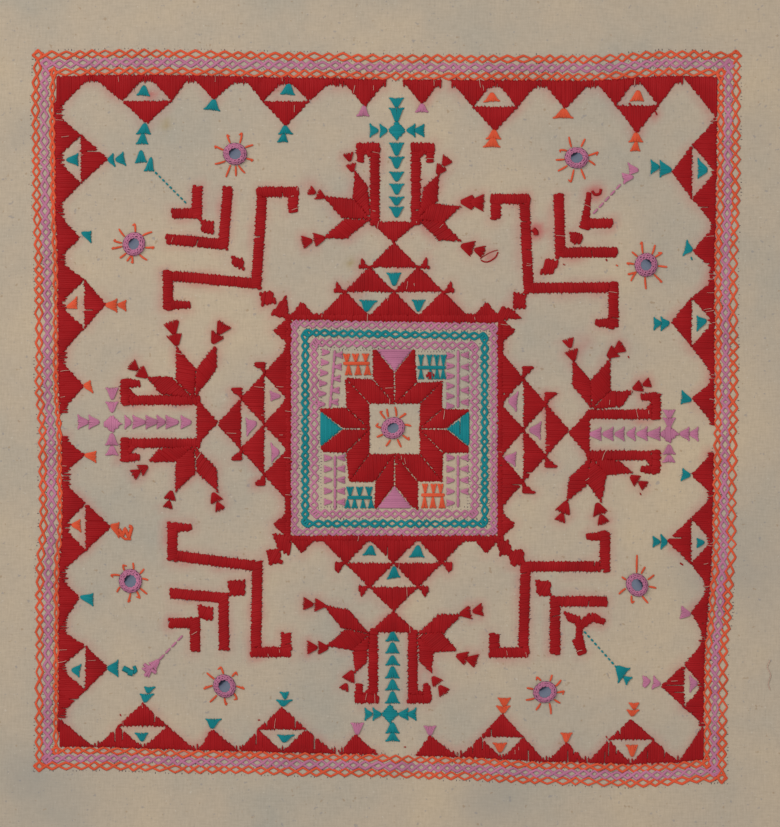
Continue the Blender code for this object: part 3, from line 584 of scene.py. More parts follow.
# Lozenges between the hooks and blobs at the medallion's corners: four corners each, pixels
LOZENGES = (
    (232, 256, 243, 259, 244, 270, 233, 266),
    (200, 220, 214, 221, 213, 234, 202, 232),
    (547, 259, 558, 261, 553, 274, 540, 274),
    (570, 232, 583, 234, 580, 244, 571, 243),
    (228, 581, 245, 580, 244, 595, 230, 596),
    (198, 605, 213, 607, 212, 620, 199, 619),
    (536, 580, 551, 582, 550, 596, 537, 595),
    (564, 612, 580, 616, 577, 625, 568, 621),
    (260, 293, 272, 291, 276, 303, 262, 306),
    (289, 318, 286, 295, 271, 315, 280, 317),
    (514, 292, 526, 295, 525, 308, 513, 309),
    (497, 321, 502, 306, 512, 309, 521, 318),
    (267, 550, 280, 548, 282, 563, 269, 565),
    (273, 534, 291, 536, 289, 556, 278, 548),
    (509, 551, 523, 549, 524, 564, 511, 566),
    (497, 540, 508, 540, 513, 554, 500, 556),
)

# Ladders beside the star: line x and y at both ends, then each column's x, first y, last y and count
LADDERS = (
    (335, 350, 330, 407, 326, 352, 404, 6, 339, 355, 402, 5),
    (458.2, 350, 458, 407, 450.5, 355.7, 406, 6, 465, 355, 402.2, 5),
    (335, 455, 335, 509, 328, 458, 502, 5, 341, 457.6, 502, 5),
    (458, 455, 458, 507, 450.5, 457.6, 502.9, 5, 464.5, 457.6, 491.4, 4),
)
LADDER_HALF = 3.7
LADDER_STITCHES = 5

# Combs beside the star: look, bar y, its ends, upper row's outer y and middles, lower row's the same
COMBS = (
    ("orange", 363.4, 343, 370, 354, (346.5, 355.5, 365.5), 375, (348.5, 358, 367.5)),
    ("teal", 367.5, 417, 446, 355, (421, 429.5, 436.5, 443.5), 379, (421, 430.5, 437, 443)),
    ("teal", 497.5, 347, 372.5, 487, (350, 359.5, 369), 508, (347.5, 354.5, 363, 371)),
    ("orange", 495, 421, 445, 484, (425, 433.5, 440.5), 508, (424.5, 433, 442)),
)

# Bunched thread where a small motif has drawn up: look, half thickness, then points in pixels
BUNCHES = (
    ("orange", 0.8, 119, 529, 123, 536, 125, 528, 129, 538, 132, 527, 129, 526),
    ("orange", 0.6, 119, 534, 125, 539, 131, 539),
    ("teal", 1.3, 123, 668, 129, 671),
    ("teal", 1.5, 128, 672, 133, 673),
    ("teal", 0.8, 133, 673, 136, 671, 134, 666),
    ("teal", 0.35, 691, 257, 692, 260),
    ("orange", 0.3, 616, 265, 618, 266),
    ("mauve", 0.8, 144, 664, 149, 668, 156, 673),
    ("mauve", 0.8, 156, 662, 151, 668, 145, 676),
    ("mauve", 0.7, 645, 677, 649, 682, 644, 687),
)
# Loose ends and specks of red thread: half thickness in millimetres, then points in pixels
LOOSE_ENDS = (
    (0.18, 480, 259, 484, 256, 489, 253, 494, 251, 498, 250),
    (0.32, 481, 260, 484, 262, 488, 262, 492, 260, 496, 257, 498, 252),
    (1.2, 533, 229, 536, 232, 536, 235),
    (0.65, 592, 191, 595, 195, 600, 194, 601, 189),
    (1.1, 430, 372, 430, 379),
    (0.7, 426, 376, 434, 375),
    (0.5, 629, 103, 631, 106),
    (0.35, 655, 111, 657, 115),
    (0.35, 606, 259, 607, 261),
    (0.25, 563, 264, 565, 265),
    (0.3, 120, 714, 121, 716),
    (0.3, 258, 720, 260, 720),
    (0.3, 404, 747, 406, 747),
    (0.3, 606, 736, 607, 738),
    (0.35, 680, 563, 683, 565),
    (0.3, 628, 356, 629, 358),
    (0.3, 640, 493, 641, 495),
)
# Loose pale fibres, in the same form
PALE_ENDS = (
    (0.14, 127, 76, 131, 84, 135, 93),
    (0.14, 770, 660, 767, 667, 771, 675, 768, 684, 770, 690),
)
# Running-stitch lines: look, both ends, and the length of a stitch and of the cloth between, pixels
RUNNING = (
    ("teal", 155, 172, 189, 206, 3.4, 1.7),
    ("mauve", 621, 184, 591, 216, 7.5, 0.9),
    ("mauve", 159, 660, 186, 632, 8.0, 0.8),
    ("teal", 617, 668, 582, 629, 3.4, 1.7),
)

# Low ripples of the margin: (side, place along it, half breadth, height)
RIPPLES = (
    ("top", -120, 30, 1.0),
    ("top", -20, 38, 1.5),
    ("top", 95, 26, 0.9),
    ("right", 120, 34, 1.2),
    ("right", 20, 26, 0.8),
    ("right", -74, 24, 2.4),
    ("right", -150, 26, 1.2),
    ("bottom", -130, 30, 1.4),
    ("bottom", -45, 24, 0.9),
    ("bottom", 44, 26, 2.2),
    ("bottom", 140, 22, 1.1),
    ("left", 128, 24, 2.0),
    ("left", 40, 34, 1.0),
    ("left", -60, 28, 1.5),
    ("left", -150, 24, 0.9),
)

# Red dye that has crept into the cloth round the stitches
BLEED_STRENGTH = 0.75
BLEED_REACH = 1.9
BLEED_FURTHEST = 4
# Pink dye stains, tan stains, and grey patches of painted shade over creases and the rippled margin: kind, x,
# y and radius in pixels, strength
STAINS_AND_SHADE = (
    ("pink", 537, 231, 7, 1.5),
    ("pink", 490, 256, 6, 0.9),
    ("pink", 585, 342, 9, 0.3),
    ("pink", 345, 284, 6, 0.1),
    ("pink", 568, 104, 8, 0.1),
    ("pink", 152, 95, 5, 0.9),
    ("pink", 308, 186, 9, 0.3),
    ("pink", 655, 116, 5, 0.6),
    ("pink", 596, 193, 8, 1.1),
    ("tan", 350.5, 263, 4.5, 0.9),
    ("tan", 166, 124, 5, 0.8),
    ("tan", 190, 600, 5, 0.2),
    ("grey", 700, 575, 34, 0.35),
    ("grey", 760, 575, 40, 0.3),
    ("grey", 490, 805, 34, 0.35),
    ("grey", 25, 130, 22, 0.3),
    ("grey", 60, 800, 60, 0.25),
    ("grey", 25, 772, 26, 0.3),
    ("grey", 610, 425, 24, 0.12),
    ("grey", 235, 368, 24, 0.12),
    ("grey", 762, 120, 26, 0.2),
)
# Colours of the three kinds of mark, in the order in which the cloth keeps them: pink and tan for stains,
# grey for painted shade
STAIN_AND_SHADE_KINDS = ("pink", "grey", "tan")
STAIN_AND_SHADE_CODES = ("b0605a", "8d8a82", "9b8762")
# Flecks of husk and stray fibre, a pixel or two across: scale, how rare, and colour
FLECKS = (
    (520.0, 0.735, "77757a"),
    (410.0, 0.755, "8a6a48"),
    (700.0, 0.75, "c6bba8"),
)

# Red pieces whose stitches' ends show needle holes
SATIN_PIECES = ("satin_zigzag", "satin_surround", "satin_star", "satin_palms", "satin_hooks")

# Stage, in metres: floor, soft room light, lamps (name, place, size, power) and camera
FLOOR_HALF = 3.0
SKY_CODE = "e4e8f0"
SKY_STRENGTH = 0.66
LAMPS = (
    ("key", (-1.0, 0.9, 1.3), 0.9, 20.0),
    ("fill", (1.1, -0.7, 1.5), 1.4, 6.0),
)
CAMERA_HEIGHT = 2.0
SENSOR_WIDTH = 36.0


def linear(code):
    """A hex sRGB colour as linear RGB."""
    parts = [int(code[i : i + 2], 16) / 255 for i in (0, 2, 4)]
    return [c / 12.92 if c <= 0.04045 else ((c + 0.055) / 1.055) ** 2.4 for c in parts]


class RumalSizes(bpy.types.PropertyGroup):
    stitch_pitch: bpy.props.FloatProperty(
        name="Stitch pitch",
        description="From one satin stitch to the next",
        default=0.00088,
        unit="LENGTH",
    )
    stitch_height: bpy.props.FloatProperty(
        name="Stitch height",
        description="Thickness of the floss where it lies",
        default=0.0005,
        unit="LENGTH",
    )
    lace_thread_share: bpy.props.FloatProperty(
        name="Lace thread",
        description="Thickness of the laced threads, as a share of the usual",
        default=1.0,
    )
    cloth_grid: bpy.props.FloatProperty(
        name="Cloth grid",
        description="Size of one face of the cloth",
        default=0.0024,
        unit="LENGTH",
    )


def colour_choice(name, description, code):
    """One colour that the panel offers, with the sRGB code that it starts from."""
    start = linear(code)
    return bpy.props.FloatVectorProperty(name=name, description=description, subtype="COLOR", default=start)


class RumalColours(bpy.types.PropertyGroup):
    # Shaded mauve: a darker copy of the mauve floss, painted shade for the threads deep in the mirror rings
    plum: colour_choice("Plum", "Mauve floss deep in the mirror rings", "69405c")
    pale: colour_choice("Pale fibre", "Loose undyed fibres", "bf9c88")
    cotton: colour_choice("Cotton", "Undyed cotton ground", "b09f88")
    red: colour_choice("Red floss", "Satin stitch", "930c10")
    orange: colour_choice("Orange floss", "Border lace and rays", "ce5030")
    mauve: colour_choice("Mauve floss", "Lace, ladders and mirror rings", "b16c85")
    teal: colour_choice("Teal floss", "Stems, lace and small triangles", "107679")


def node(tree, kind, settings=None, links=None):
    """Adds one shader node, sets its values and links its inputs."""
    made = tree.nodes.new("ShaderNode" + kind)
    for key, value in (settings or {}).items():
        if isinstance(key, str) and hasattr(made, key):
            setattr(made, key, value)
        else:
            made.inputs[key].default_value = value
    for key, source in (links or {}).items():
        tree.links.new(source, made.inputs[key])
    return made


def new_material(name, settings):
    """A new material, its nodes, and its shader with the values that are the same everywhere."""
    made = bpy.data.materials.new(name)
    made.use_nodes = True
    tree = made.node_tree
    shader = tree.nodes["Principled BSDF"]
    for key, value in settings.items():
        shader.inputs[key].default_value = value
    return made, tree, shader


def object_place(tree):
    """Where a point lies on its own piece, in metres."""
    return node(tree, "TexCoord").outputs["Object"]


def own_value(tree, name):
    """A value that the mesh keeps for every point."""
    return node(tree, "Attribute", {"attribute_name": name}).outputs["Vector"]


def channel(tree, source, axis):
    """One of the three numbers of a value."""
    return node(tree, "SeparateXYZ", links={0: source}).outputs[axis]


def stretched(tree, where, factors):
    """A place stretched by three factors."""
    return node(tree, "VectorMath", {"operation": "MULTIPLY", 1: factors}, {0: where}).outputs[0]


def grain(tree, where, scale, detail, roughness=0.5):
    """Uneven grey of one scale."""
    settings = {"Scale": scale, "Detail": detail, "Roughness": roughness}
    return node(tree, "TexNoise", settings, {"Vector": where}).outputs["Fac"]


def weighted(tree, value, weight, rest):
    """A value times its weight, and the rest added."""
    return node(tree, "Math", {"operation": "MULTIPLY_ADD", 1: weight}, {0: value, 2: rest}).outputs[0]


def levelled(tree, value, low, high, top=1.0):
    """A value spread from between two levels to between 0 and the top."""
    settings = {"From Min": low, "From Max": high, "To Max": top, "clamp": True}
    return node(tree, "MapRange", settings, {0: value}).outputs[0]


def tinted(tree, base, share, tint):
    """A colour with some share of a tint laid over it."""
    settings = {"data_type": "RGBA", "blend_type": "MIX", 7: (*tint, 1.0)}
    return node(tree, "Mix", settings, {0: share, 6: base}).outputs[2]


def ramp(tree, source, stops):
    """A colour ramp through (place, colour) stops."""
    made = node(tree, "ValToRGB", links={0: source})
    steps = made.color_ramp.elements
    while len(steps) < len(stops):
        steps.new(0.5)
    for step, (place_on_ramp, colour) in zip(steps, stops):
        step.position = place_on_ramp
        step.color = (*colour, 1.0)
    return made.outputs["Color"]


def give_surface(tree, shader, colour, height=None, strength=0.0, depth=0.0):
    """Gives the shader its colour and, from a height, its bump."""
    tree.links.new(colour, shader.inputs["Base Color"])
    if height is not None:
        bump = node(tree, "Bump", {"Strength": strength, "Distance": depth}, {"Height": height})
        tree.links.new(bump.outputs[0], shader.inputs["Normal"])


def floss_material(look):
    """Untwisted silk-like floss, dyed: soft lustre painted along the filaments as lighter and darker streaks,
    and uneven take-up of the dye, whose broad patches also stand in for painted sheen.
    """
    made, tree, shader = new_material("floss_" + look, {"Roughness": 0.62, "Specular IOR Level": 0.12})
    body = list(getattr(bpy.context.scene.rumal_colours, look))
    deep = [c * 0.8 for c in body]
    light = [min(1.0, c * 1.2 + 0.004) for c in body]
    along = own_value(tree, "floss")
    # Filaments run along the stitch: stretched noise, drawn coarser than the real 0.02 mm so that it shows,
    # both as bump and as painted streaks of lustre in the colour
    filaments = grain(tree, stretched(tree, along, (0.16, 3.2, 9.0)), 1.0, 3.0, 0.6)
    # Broad lighter and darker patches: uneven dye, and painted sheen as well
    dye_and_sheen = grain(tree, object_place(tree), 75.0, 3.0)
    tone = weighted(tree, channel(tree, along, "Z"), 0.3, dye_and_sheen)
    tone = levelled(tree, weighted(tree, filaments, 0.35, tone), 0.4, 1.25)
    colour = ramp(tree, tone, ((0.12, deep), (0.5, body), (0.92, light)))
    give_surface(tree, shader, colour, filaments, 0.25, 0.0001)
    return made


def cotton_material():
    """Undyed plain-weave cotton: slubby yarns both ways, flecks of husk, broad mottling, and grey patches of
    painted shade over its creases and rippled margin.
    """
    settings = {"Roughness": 0.92, "Specular IOR Level": 0.2, "Sheen Weight": 0.1}
    made, tree, shader = new_material("handwoven_cotton", settings)
    body = list(bpy.context.scene.rumal_colours.cotton)
    light = [min(1.0, c * 1.06) for c in body]
    dark = [c * 0.93 for c in body]
    where = object_place(tree)
    # Yarns at about 0.8 mm with slubs 5 mm long, one set each way
    runs = ((1250.0, 190.0, 1.0), (190.0, 1250.0, 1.0))
    level_yarns, upright_yarns = [grain(tree, stretched(tree, where, run), 1.0, 2.0, 0.55) for run in runs]
    weave = node(tree, "Math", {"operation": "ADD"}, {0: level_yarns, 1: upright_yarns}).outputs[0]
    weave = weighted(tree, grain(tree, where, 900.0, 2.0), 0.5, weave)
    base = ramp(tree, levelled(tree, weave, 0.9, 1.6), ((0.1, dark), (0.5, body), (0.9, light)))
    # Broad mottling: warm where it has yellowed, blue-grey where it is worn
    tones = ((0.29, (0.82, 0.91, 1.0)), (0.5, (1.0, 1.0, 1.0)), (0.71, (1.15, 1.1, 1.0)))
    mottle = ramp(tree, grain(tree, where, 11.0, 4.0, 0.6), tones)
    settings = {"data_type": "RGBA", "blend_type": "MULTIPLY", 0: 1.0}
    base = node(tree, "Mix", settings, {6: base, 7: mottle}).outputs[2]
    # Pink and tan stains, and grey painted shade where the cloth creases and ripples
    marks = own_value(tree, "marks")
    for axis, code in zip("XYZ", STAIN_AND_SHADE_CODES):
        base = tinted(tree, base, channel(tree, marks, axis), linear(code))
    for scale, level, code in FLECKS:
        shift = node(tree, "VectorMath", {"operation": "ADD", 1: (scale, 0.3, 0.0)}, {0: where}).outputs[0]
        share = levelled(tree, grain(tree, shift, scale, 1.0), level - 0.03, level + 0.03, 0.4)
        base = tinted(tree, base, share, linear(code))
    give_surface(tree, shader, base, weave, 0.3, 0.0002)
    return made


def needle_hole_material():
    """Painted shade of the needle holes where thread goes down through the cloth: a dark colour that stands
    in for their shadow.
    """
    made, tree, shader = new_material("needle_hole_shadow", {"Roughness": 0.95})
    # Mottled dark colour: the painted shadow inside a needle hole
    depth = grain(tree, object_place(tree), 260.0, 1.0)
    give_surface(tree, shader, ramp(tree, depth, ((0.35, linear("4a3d45")), (0.65, linear("5f5159")))))
    return made


def glass_material():
    """Thin hand-silvered glass, dulled: a soft blue-grey with a dark crescent where the ring shades it."""
    made, tree, shader = new_material("silvered_glass", {"Metallic": 0.9, "Roughness": 0.25})
    inside = own_value(tree, "within")
    wavy = weighted(tree, grain(tree, inside, 1.7, 3.0), 0.5, channel(tree, inside, "Y"))
    stops = ((0.15, "868c9a"), (0.6, "757b8b"), (0.75, "3f4250"), (0.9, "2b2c38"))
    give_surface(tree, shader, ramp(tree, wavy, [(spot, linear(code)) for spot, code in stops]))
    return made


def floor_material():
    """Matt pale paper sweep, hardly uneven."""
    made, tree, shader = new_material("pale_paper", {"Roughness": 0.9})
    fibres = grain(tree, object_place(tree), 40.0, 4.0)
    tint = ramp(tree, fibres, ((0.3, linear("d7d5d1")), (0.7, linear("d9d7d3"))))
    give_surface(tree, shader, tint, fibres, 0.02, 0.0002)
    return made


def from_photo(x, y):
    """Millimetres on the cloth of a point given in photograph pixels."""
    return ((x - PHOTO_WIDE / 2) * PIXEL, (PHOTO_HIGH / 2 - y) * PIXEL)


def pairs(row):
    """Numbers of a row taken two at a time."""
    return list(zip(row[::2], row[1::2]))


def photo_points(row):
    """Millimetres on the cloth of a row of points given in photograph pixels."""
    return [from_photo(*spot) for spot in pairs(row)]


def place(side, along, out):
    """A point given along a side and outward from the middle of the cloth, as x and y."""
    if side == "top":
        return (along, out)
    if side == "bottom":
        return (along, -out)
    if side == "right":
        return (out, along)
    return (-out, along)


def on_side(side, shape):
    """A shape given along a side and outward from the middle, as x and y."""
    return [place(side, *point) for point in shape]


def between(first, last, share):
    """The point some share of the way from one point to another."""
    return [a + (b - a) * share for a, b in zip(first, last)]


def bar(start, end, width, end_width=None):
    """A straight band of stitches from one point to another, square at both ends."""
    (x0, y0), (x1, y1) = start, end
    length = math.hypot(x1 - x0, y1 - y0)
    across_x = -(y1 - y0) / length / 2
    across_y = (x1 - x0) / length / 2
    far = width if end_width is None else end_width
    return [
        (x0 + across_x * width, y0 + across_y * width),
        (x0 - across_x * width, y0 - across_y * width),
        (x1 - across_x * far, y1 - across_y * far),
        (x1 + across_x * far, y1 + across_y * far),
    ]


def read_run(rows, along):
    """The value of a table at one place, eased between its rows."""
    rows = sorted(rows)
    if along <= rows[0][0]:
        return rows[0][1]
    for (a, low), (b, high) in zip(rows, rows[1:]):
        if along <= b:
            share = (along - a) / (b - a)
            share = share * share * (3 - 2 * share)
            return low + (high - low) * share
    return rows[-1][1]


def border_line(side, along, inward):
    """Distance from the middle of the cloth of a line that follows the border at some depth inside it."""
    return read_run(BORDER_RUN[side], along) - inward


def border_corner(upright, level, depth_upright, depth_level):
    """Where two neighbouring border lines cross, found by stepping from a first guess."""
    x_sign = 1 if upright == "right" else -1
    y_sign = 1 if level == "top" else -1
    x, y = 155.0 * x_sign, 160.0 * y_sign
    for _ in range(8):
        x = x_sign * border_line(upright, y, depth_upright)
        y = y_sign * border_line(level, x, depth_level)
    return (x, y)


def foot_depth(side):
    """How far inside the outermost band's line the work within the three bands begins."""
    return 2 * BAND_PITCH[side] + BAND_HALF + WORK_GAP


def zigzag_foot(side, along):
    """Distance from the middle of the line on which the zigzag stands."""
    return border_line(side, along, foot_depth(side) - FOOT_TUCK.get(side, 0.0))


def margin_share(out, flat, rim):
    """0 over the flat middle of the cloth, rising to 1 at its edge."""
    return max(0.0, out - flat) / (rim - flat)


def margin_lift(x, y):
    """How far the margin of the cloth is lifted at one point by its curl and its ripples."""
    across = margin_share(abs(x), FLAT_HALF_WIDTH, CLOTH_HALF_WIDTH)
    lengthwise = margin_share(abs(y), FLAT_HALF_LENGTH, CLOTH_HALF_LENGTH)
    lift = RIM_CURL * max(across, lengthwise) ** 2
    for side, middle, half, height in RIPPLES:
        level = side in ("top", "bottom")
        along, out = (x, abs(y)) if level else (y, abs(x))
        facing = {"top": y > 0, "bottom": y < 0, "right": x > 0, "left": x < 0}[side]
        flat = FLAT_HALF_LENGTH if level else FLAT_HALF_WIDTH
        rim = CLOTH_HALF_LENGTH if level else CLOTH_HALF_WIDTH
        if facing:
            lift += height * margin_share(out, flat, rim) ** 2 * math.exp(-(((along - middle) / half) ** 2))
    return lift


def edge_draw(along):
    """How far a cut edge is drawn in from its straight line, never outside it."""
    wave = 0.5 + 0.3 * math.sin(along / 37.0 + 0.6) + 0.2 * math.sin(along / 17.0 + 2.1)
    return EDGE_DRAW_IN * wave


# Stitches are rows of both ends' x and y, width, lift and the share of the width at the first end


def fill(shape, angle, rng, slack=0.26, lift=0.0, gaps=0.005, cover=1.0, spread=1.0, past=0.2):
    """Satin stitches that fill a flat shape, laid side by side along one direction."""
    pitch = bpy.context.scene.rumal_sizes.stitch_pitch / MM * spread
    c, s = math.cos(math.radians(angle)), math.sin(math.radians(angle))
    turned = [(x * c + y * s, y * c - x * s) for x, y in shape]
    low, high = min(v for _, v in turned), max(v for _, v in turned)
    count = max(1, round((high - low) / pitch))
    pitch = (high - low) / count
    found = []
    for i in range(count):
        row = low + (i + 0.5 + rng.uniform(-ROW_STRAY, ROW_STRAY)) * pitch
        cuts = []
        for (u0, v0), (u1, v1) in zip(turned, turned[1:] + turned[:1]):
            if (v0 <= row) != (v1 <= row):
                cuts.append(u0 + (row - v0) / (v1 - v0) * (u1 - u0))
        cuts.sort()
        tooth = slack * (0.6 if i % 2 else -0.6)
        for a, b in zip(cuts[::2], cuts[1::2]):
            a += tooth + rng.uniform(-slack, slack) - past
            b -= tooth + rng.uniform(-slack, slack) - past
            if b - a < SHORTEST_STITCH:
                continue
            if rng.random() < gaps:
                cut = rng.uniform(0.3, 0.8) * (b - a)
                a, b = (a + cut, b) if rng.random() < 0.5 else (a, b - cut)
            va = row + rng.uniform(-END_STRAY, END_STRAY)
            vb = row + rng.uniform(-END_STRAY, END_STRAY)
            width = pitch * rng.uniform(*FLOSS_WIDTHS) * cover
            found.append((a * c - va * s, a * s + va * c, b * c - vb * s, b * s + vb * c, width, lift, 1.0))
    return found


def fan(apex, first, last, rng, lift=0.0, bulge=0.0):
    """A small triangle: stitches that spread from its point to its base, which is round or drawn out."""
    base = math.dist(first, last)
    count = max(FAN_FEWEST, round(base / FAN_PITCH))
    middle = between(first, last, 0.5)
    found = []
    for corner in () if bulge else (first, last):
        start = between(middle, apex, 0.3)
        end = [
            m + (c - m) * rng.uniform(1.02, 1.14) + (m - p) * 0.02 for c, m, p in zip(corner, middle, apex)
        ]
        found.append((*end, *start, 1.5, lift, 0.5))
    for i in range(count):
        share = i / (count - 1)
        further = 0.05 + bulge * math.sin(share * math.pi)
        foot = [spot + rng.uniform(-0.12, 0.12) for spot in between(first, last, 0.1 + 0.8 * share)]
        foot = between(apex, foot, 1 + further + rng.uniform(-bulge, bulge))
        tip = [
            p + (p - m) * 0.08 + (f - m) * 0.15 + rng.uniform(-0.06, 0.06)
            for p, f, m in zip(apex, foot, middle)
        ]
        rise = lift + 0.1 + 0.12 * (1 - abs(share - 0.5) * 2)
        found.append((*tip, *foot, base / count * rng.uniform(1.2, 1.45), rise, 0.3))
    return found


def stitch_pattern():
    """One stitch, once: a six-sided tube of six rings, closed at both ends, as (ring, across, up)."""
    tube = bmesh.new()
    bmesh.ops.create_circle(tube, segments=6, radius=1.0)
    for vert in tube.verts:
        vert.co = (0.0, vert.co.x, vert.co.y)
    edge_ring = tube.edges[:]
    for _ in range(STITCH_RINGS - 1):
        grown = bmesh.ops.extrude_edge_only(tube, edges=edge_ring)["geom"]
        verts = [item for item in grown if isinstance(item, bmesh.types.BMVert)]
        bmesh.ops.translate(tube, verts=verts, vec=(1.0, 0.0, 0.0))
        edge_ring = [
            item
            for item in grown
            if isinstance(item, bmesh.types.BMEdge) and all(vert in verts for vert in item.verts)
        ]
    bmesh.ops.holes_fill(tube, edges=tube.edges[:], sides=6)
    bmesh.ops.recalc_face_normals(tube, faces=tube.faces[:])
    tube.verts.index_update()
    points = np.array([vert.co[:] for vert in tube.verts])
    faces = [[vert.index for vert in face.verts] for face in tube.faces]
    tube.free()
    return points, faces


def keep_values(mesh, name, values):
    """Keeps three numbers for every point of a mesh under one name."""
    layer = mesh.attributes.new(name, "FLOAT_VECTOR", "POINT")
    layer.data.foreach_set("vector", values.astype(np.float32).ravel())


def point_places(mesh):
    """Places of a mesh's points in millimetres, a row each."""
    places = np.empty(len(mesh.vertices) * 3)
    mesh.vertices.foreach_get("co", places)
    return places.reshape(-1, 3) / MM


def mesh_of(name, points, faces, values):
    """A mesh from repeated copies, smooth shaded, with the values that it keeps for every point."""
    mesh = bpy.data.meshes.new(name)
    mesh.from_pydata(points.tolist(), [], faces)
    for key, rows in values.items():
        keep_values(mesh, key, rows)
    mesh.shade_smooth()
    return mesh


def add_piece(name, mesh, material, replaced=()):
    """Adds a mesh as one piece of the rumal, with the solids that it replaces."""
    made = bpy.data.objects.new(name, mesh)
    bpy.context.scene.collection.objects.link(made)
    mesh.materials.append(material)
    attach(made, "root")
    if replaced:
        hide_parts(*replaced)
    return made


def material(name, maker, *values):
    """The material of that name, made the first time it is asked for."""
    return bpy.data.materials.get(name) or maker(*values)


def lay_stitches(name, rows, look, replaced=(), seed=1):
    """Lays stitches, rows of both ends, width, lift and taper: flat closed floss whose ends dip down."""
    pattern, pattern_faces = stitch_pattern()
    rows = np.array(rows, float)
    count, each = len(rows), len(pattern)
    rng = np.random.default_rng(seed)
    start, end = rows[:, 0:2], rows[:, 2:4]
    length = np.linalg.norm(end - start, axis=1)
    ahead = (end - start) / length[:, None]
    across = np.stack([-ahead[:, 1], ahead[:, 0]], axis=1)
    dip = np.minimum(STITCH_DIP, length * 0.2)
    stops = np.stack([0 * dip, 0.4 * dip, dip, length - dip, length - 0.4 * dip, length], axis=1)
    swell = np.array(RING_SWELLS)
    high = bpy.context.scene.rumal_sizes.stitch_height / MM
    level = np.array(RING_LEVELS)[None]
    level = level + CLOTH_THICK + 0.42 * high + rows[:, 5:6] + rng.uniform(-0.02, 0.02, (count, 1))
    ring = pattern[:, 0].round().astype(int)
    taper = rows[:, 6:7] + (1 - rows[:, 6:7]) * ring / ring.max()
    wide = rows[:, 4:5] / 2 * swell[ring] * taper * pattern[:, 1]
    tall = high / 2 * swell[ring] * pattern[:, 2]
    spots = start[:, None] + ahead[:, None] * stops[:, ring, None] + across[:, None] * wide[:, :, None]
    points = np.concatenate([spots, (level[:, ring] + tall)[:, :, None]], axis=2) * MM
    tone = rng.normal(0.5, 0.12, (count, 1)).clip(0, 1) + 0 * wide
    shift = rng.uniform(0, 40, (count, 1))
    floss = np.stack([stops[:, ring] + shift, wide + shift, tone], axis=2)
    faces = [[i + n * each for i in face] for n in range(count) for face in pattern_faces]
    mesh = mesh_of(name, points.reshape(-1, 3), faces, {"floss": floss.reshape(-1, 3)})
    return add_piece(name, mesh, material("floss_" + look, floss_material, look), replaced)


def lay_threads(name, paths, look, replaced=(), seed=1, flatness=1.0):
    """Round threads along paths of (x, y, z, radius) in millimetres: bevelled curves made into one mesh."""
    curve = bpy.data.curves.new(name, "CURVE")
    curve.dimensions = "3D"
    curve.bevel_depth = MM
    curve.bevel_resolution = 1
    curve.use_fill_caps = True
    for path in paths:
        line = curve.splines.new("POLY")
        line.points.add(len(path) - 1)
        for point, (x, y, z, radius) in zip(line.points, path):
            point.co = (x * MM, y * MM, z * MM, 1.0)
            point.radius = radius
    guide = bpy.data.objects.new(name + "_guide", curve)
    bpy.context.scene.collection.objects.link(guide)
    bpy.context.view_layer.update()
    mesh = bpy.data.meshes.new_from_object(guide.evaluated_get(bpy.context.evaluated_depsgraph_get()))
    bpy.data.objects.remove(guide)
    bpy.data.curves.remove(curve)
    mesh.name = name
    places = point_places(mesh)
    places[:, 2] = CLOTH_THICK + (places[:, 2] - CLOTH_THICK) * flatness
    mesh.vertices.foreach_set("co", (places * MM).ravel())
    tone = np.random.default_rng(seed).normal(0, 0.05, (len(places), 1)) + 0.5
    keep_values(mesh, "floss", np.hstack([places[:, :2], tone]))
    mesh.shade_smooth()
    return add_piece(name, mesh, material("floss_" + look, floss_material, look), replaced)


def big_peak(side, start, tip, end, row, reach):
    """Two triangles side by side and a third beyond them, with a bare window between."""
    quarter = (end - start) / 4
    near, far = tip - quarter, tip + quarter
    feet = [(s, zigzag_foot(side, s)) for s in (start, tip - 0.2, tip + 0.2, end)]
    shapes = [
        [feet[0], feet[1], (near, row)],
        [feet[2], feet[3], (far, row)],
        [(near, row), (far, row), (tip, reach)],
    ]
    return [on_side(side, shape) for shape in shapes]


def upright_angle(side):
    """The direction of stitches that stand square to a side."""
    return 90 if side in ("top", "bottom") else 0


def zigzag_rows(rng):
    """Every stitch of the red zigzag: its triangles, its corners, and the short stitches along its foot."""
    found = []
    for row in BIG_PEAKS:
        for shape in big_peak(*row):
            angle = upright_angle(row[0]) + rng.uniform(-1.5, 1.5)
            found += fill(shape, angle, rng, gaps=PEAK_GAPS[row[0]])
    for side, start, tip, end, reach in SMALL_PEAKS:
        shape = [(start, zigzag_foot(side, start)), (end, zigzag_foot(side, end)), (tip, reach)]
        found += fill(on_side(side, shape), upright_angle(side), rng, gaps=PEAK_GAPS[side])
    for level, level_end, upright, upright_end in ZIGZAG_CORNERS:
        shape = [
            border_corner(upright, level, foot_depth(upright), foot_depth(level)),
            place(level, level_end, zigzag_foot(level, level_end)),
            place(upright, upright_end, zigzag_foot(upright, upright_end)),
        ]
        found += fill(shape, 90, rng)
    for side, start, end in ZIGZAG_RUNS:
        low, high = min(start, end), max(start, end)
        depth = FOOT_DEPTH[side]
        for along in np.arange(low, high, FOOT_STEP):
            ahead = min(along + FOOT_STEP, high)
            near, far = zigzag_foot(side, along), zigzag_foot(side, ahead)
            strip = [(along, near), (ahead, far), (ahead, far - depth), (along, near - depth)]
            shape = on_side(side, strip)
            share, wider = FOOT_COVER[side], FOOT_SPREAD[side]
            found += fill(shape, upright_angle(side), rng, slack=0.5, cover=share, spread=wider)
    return found


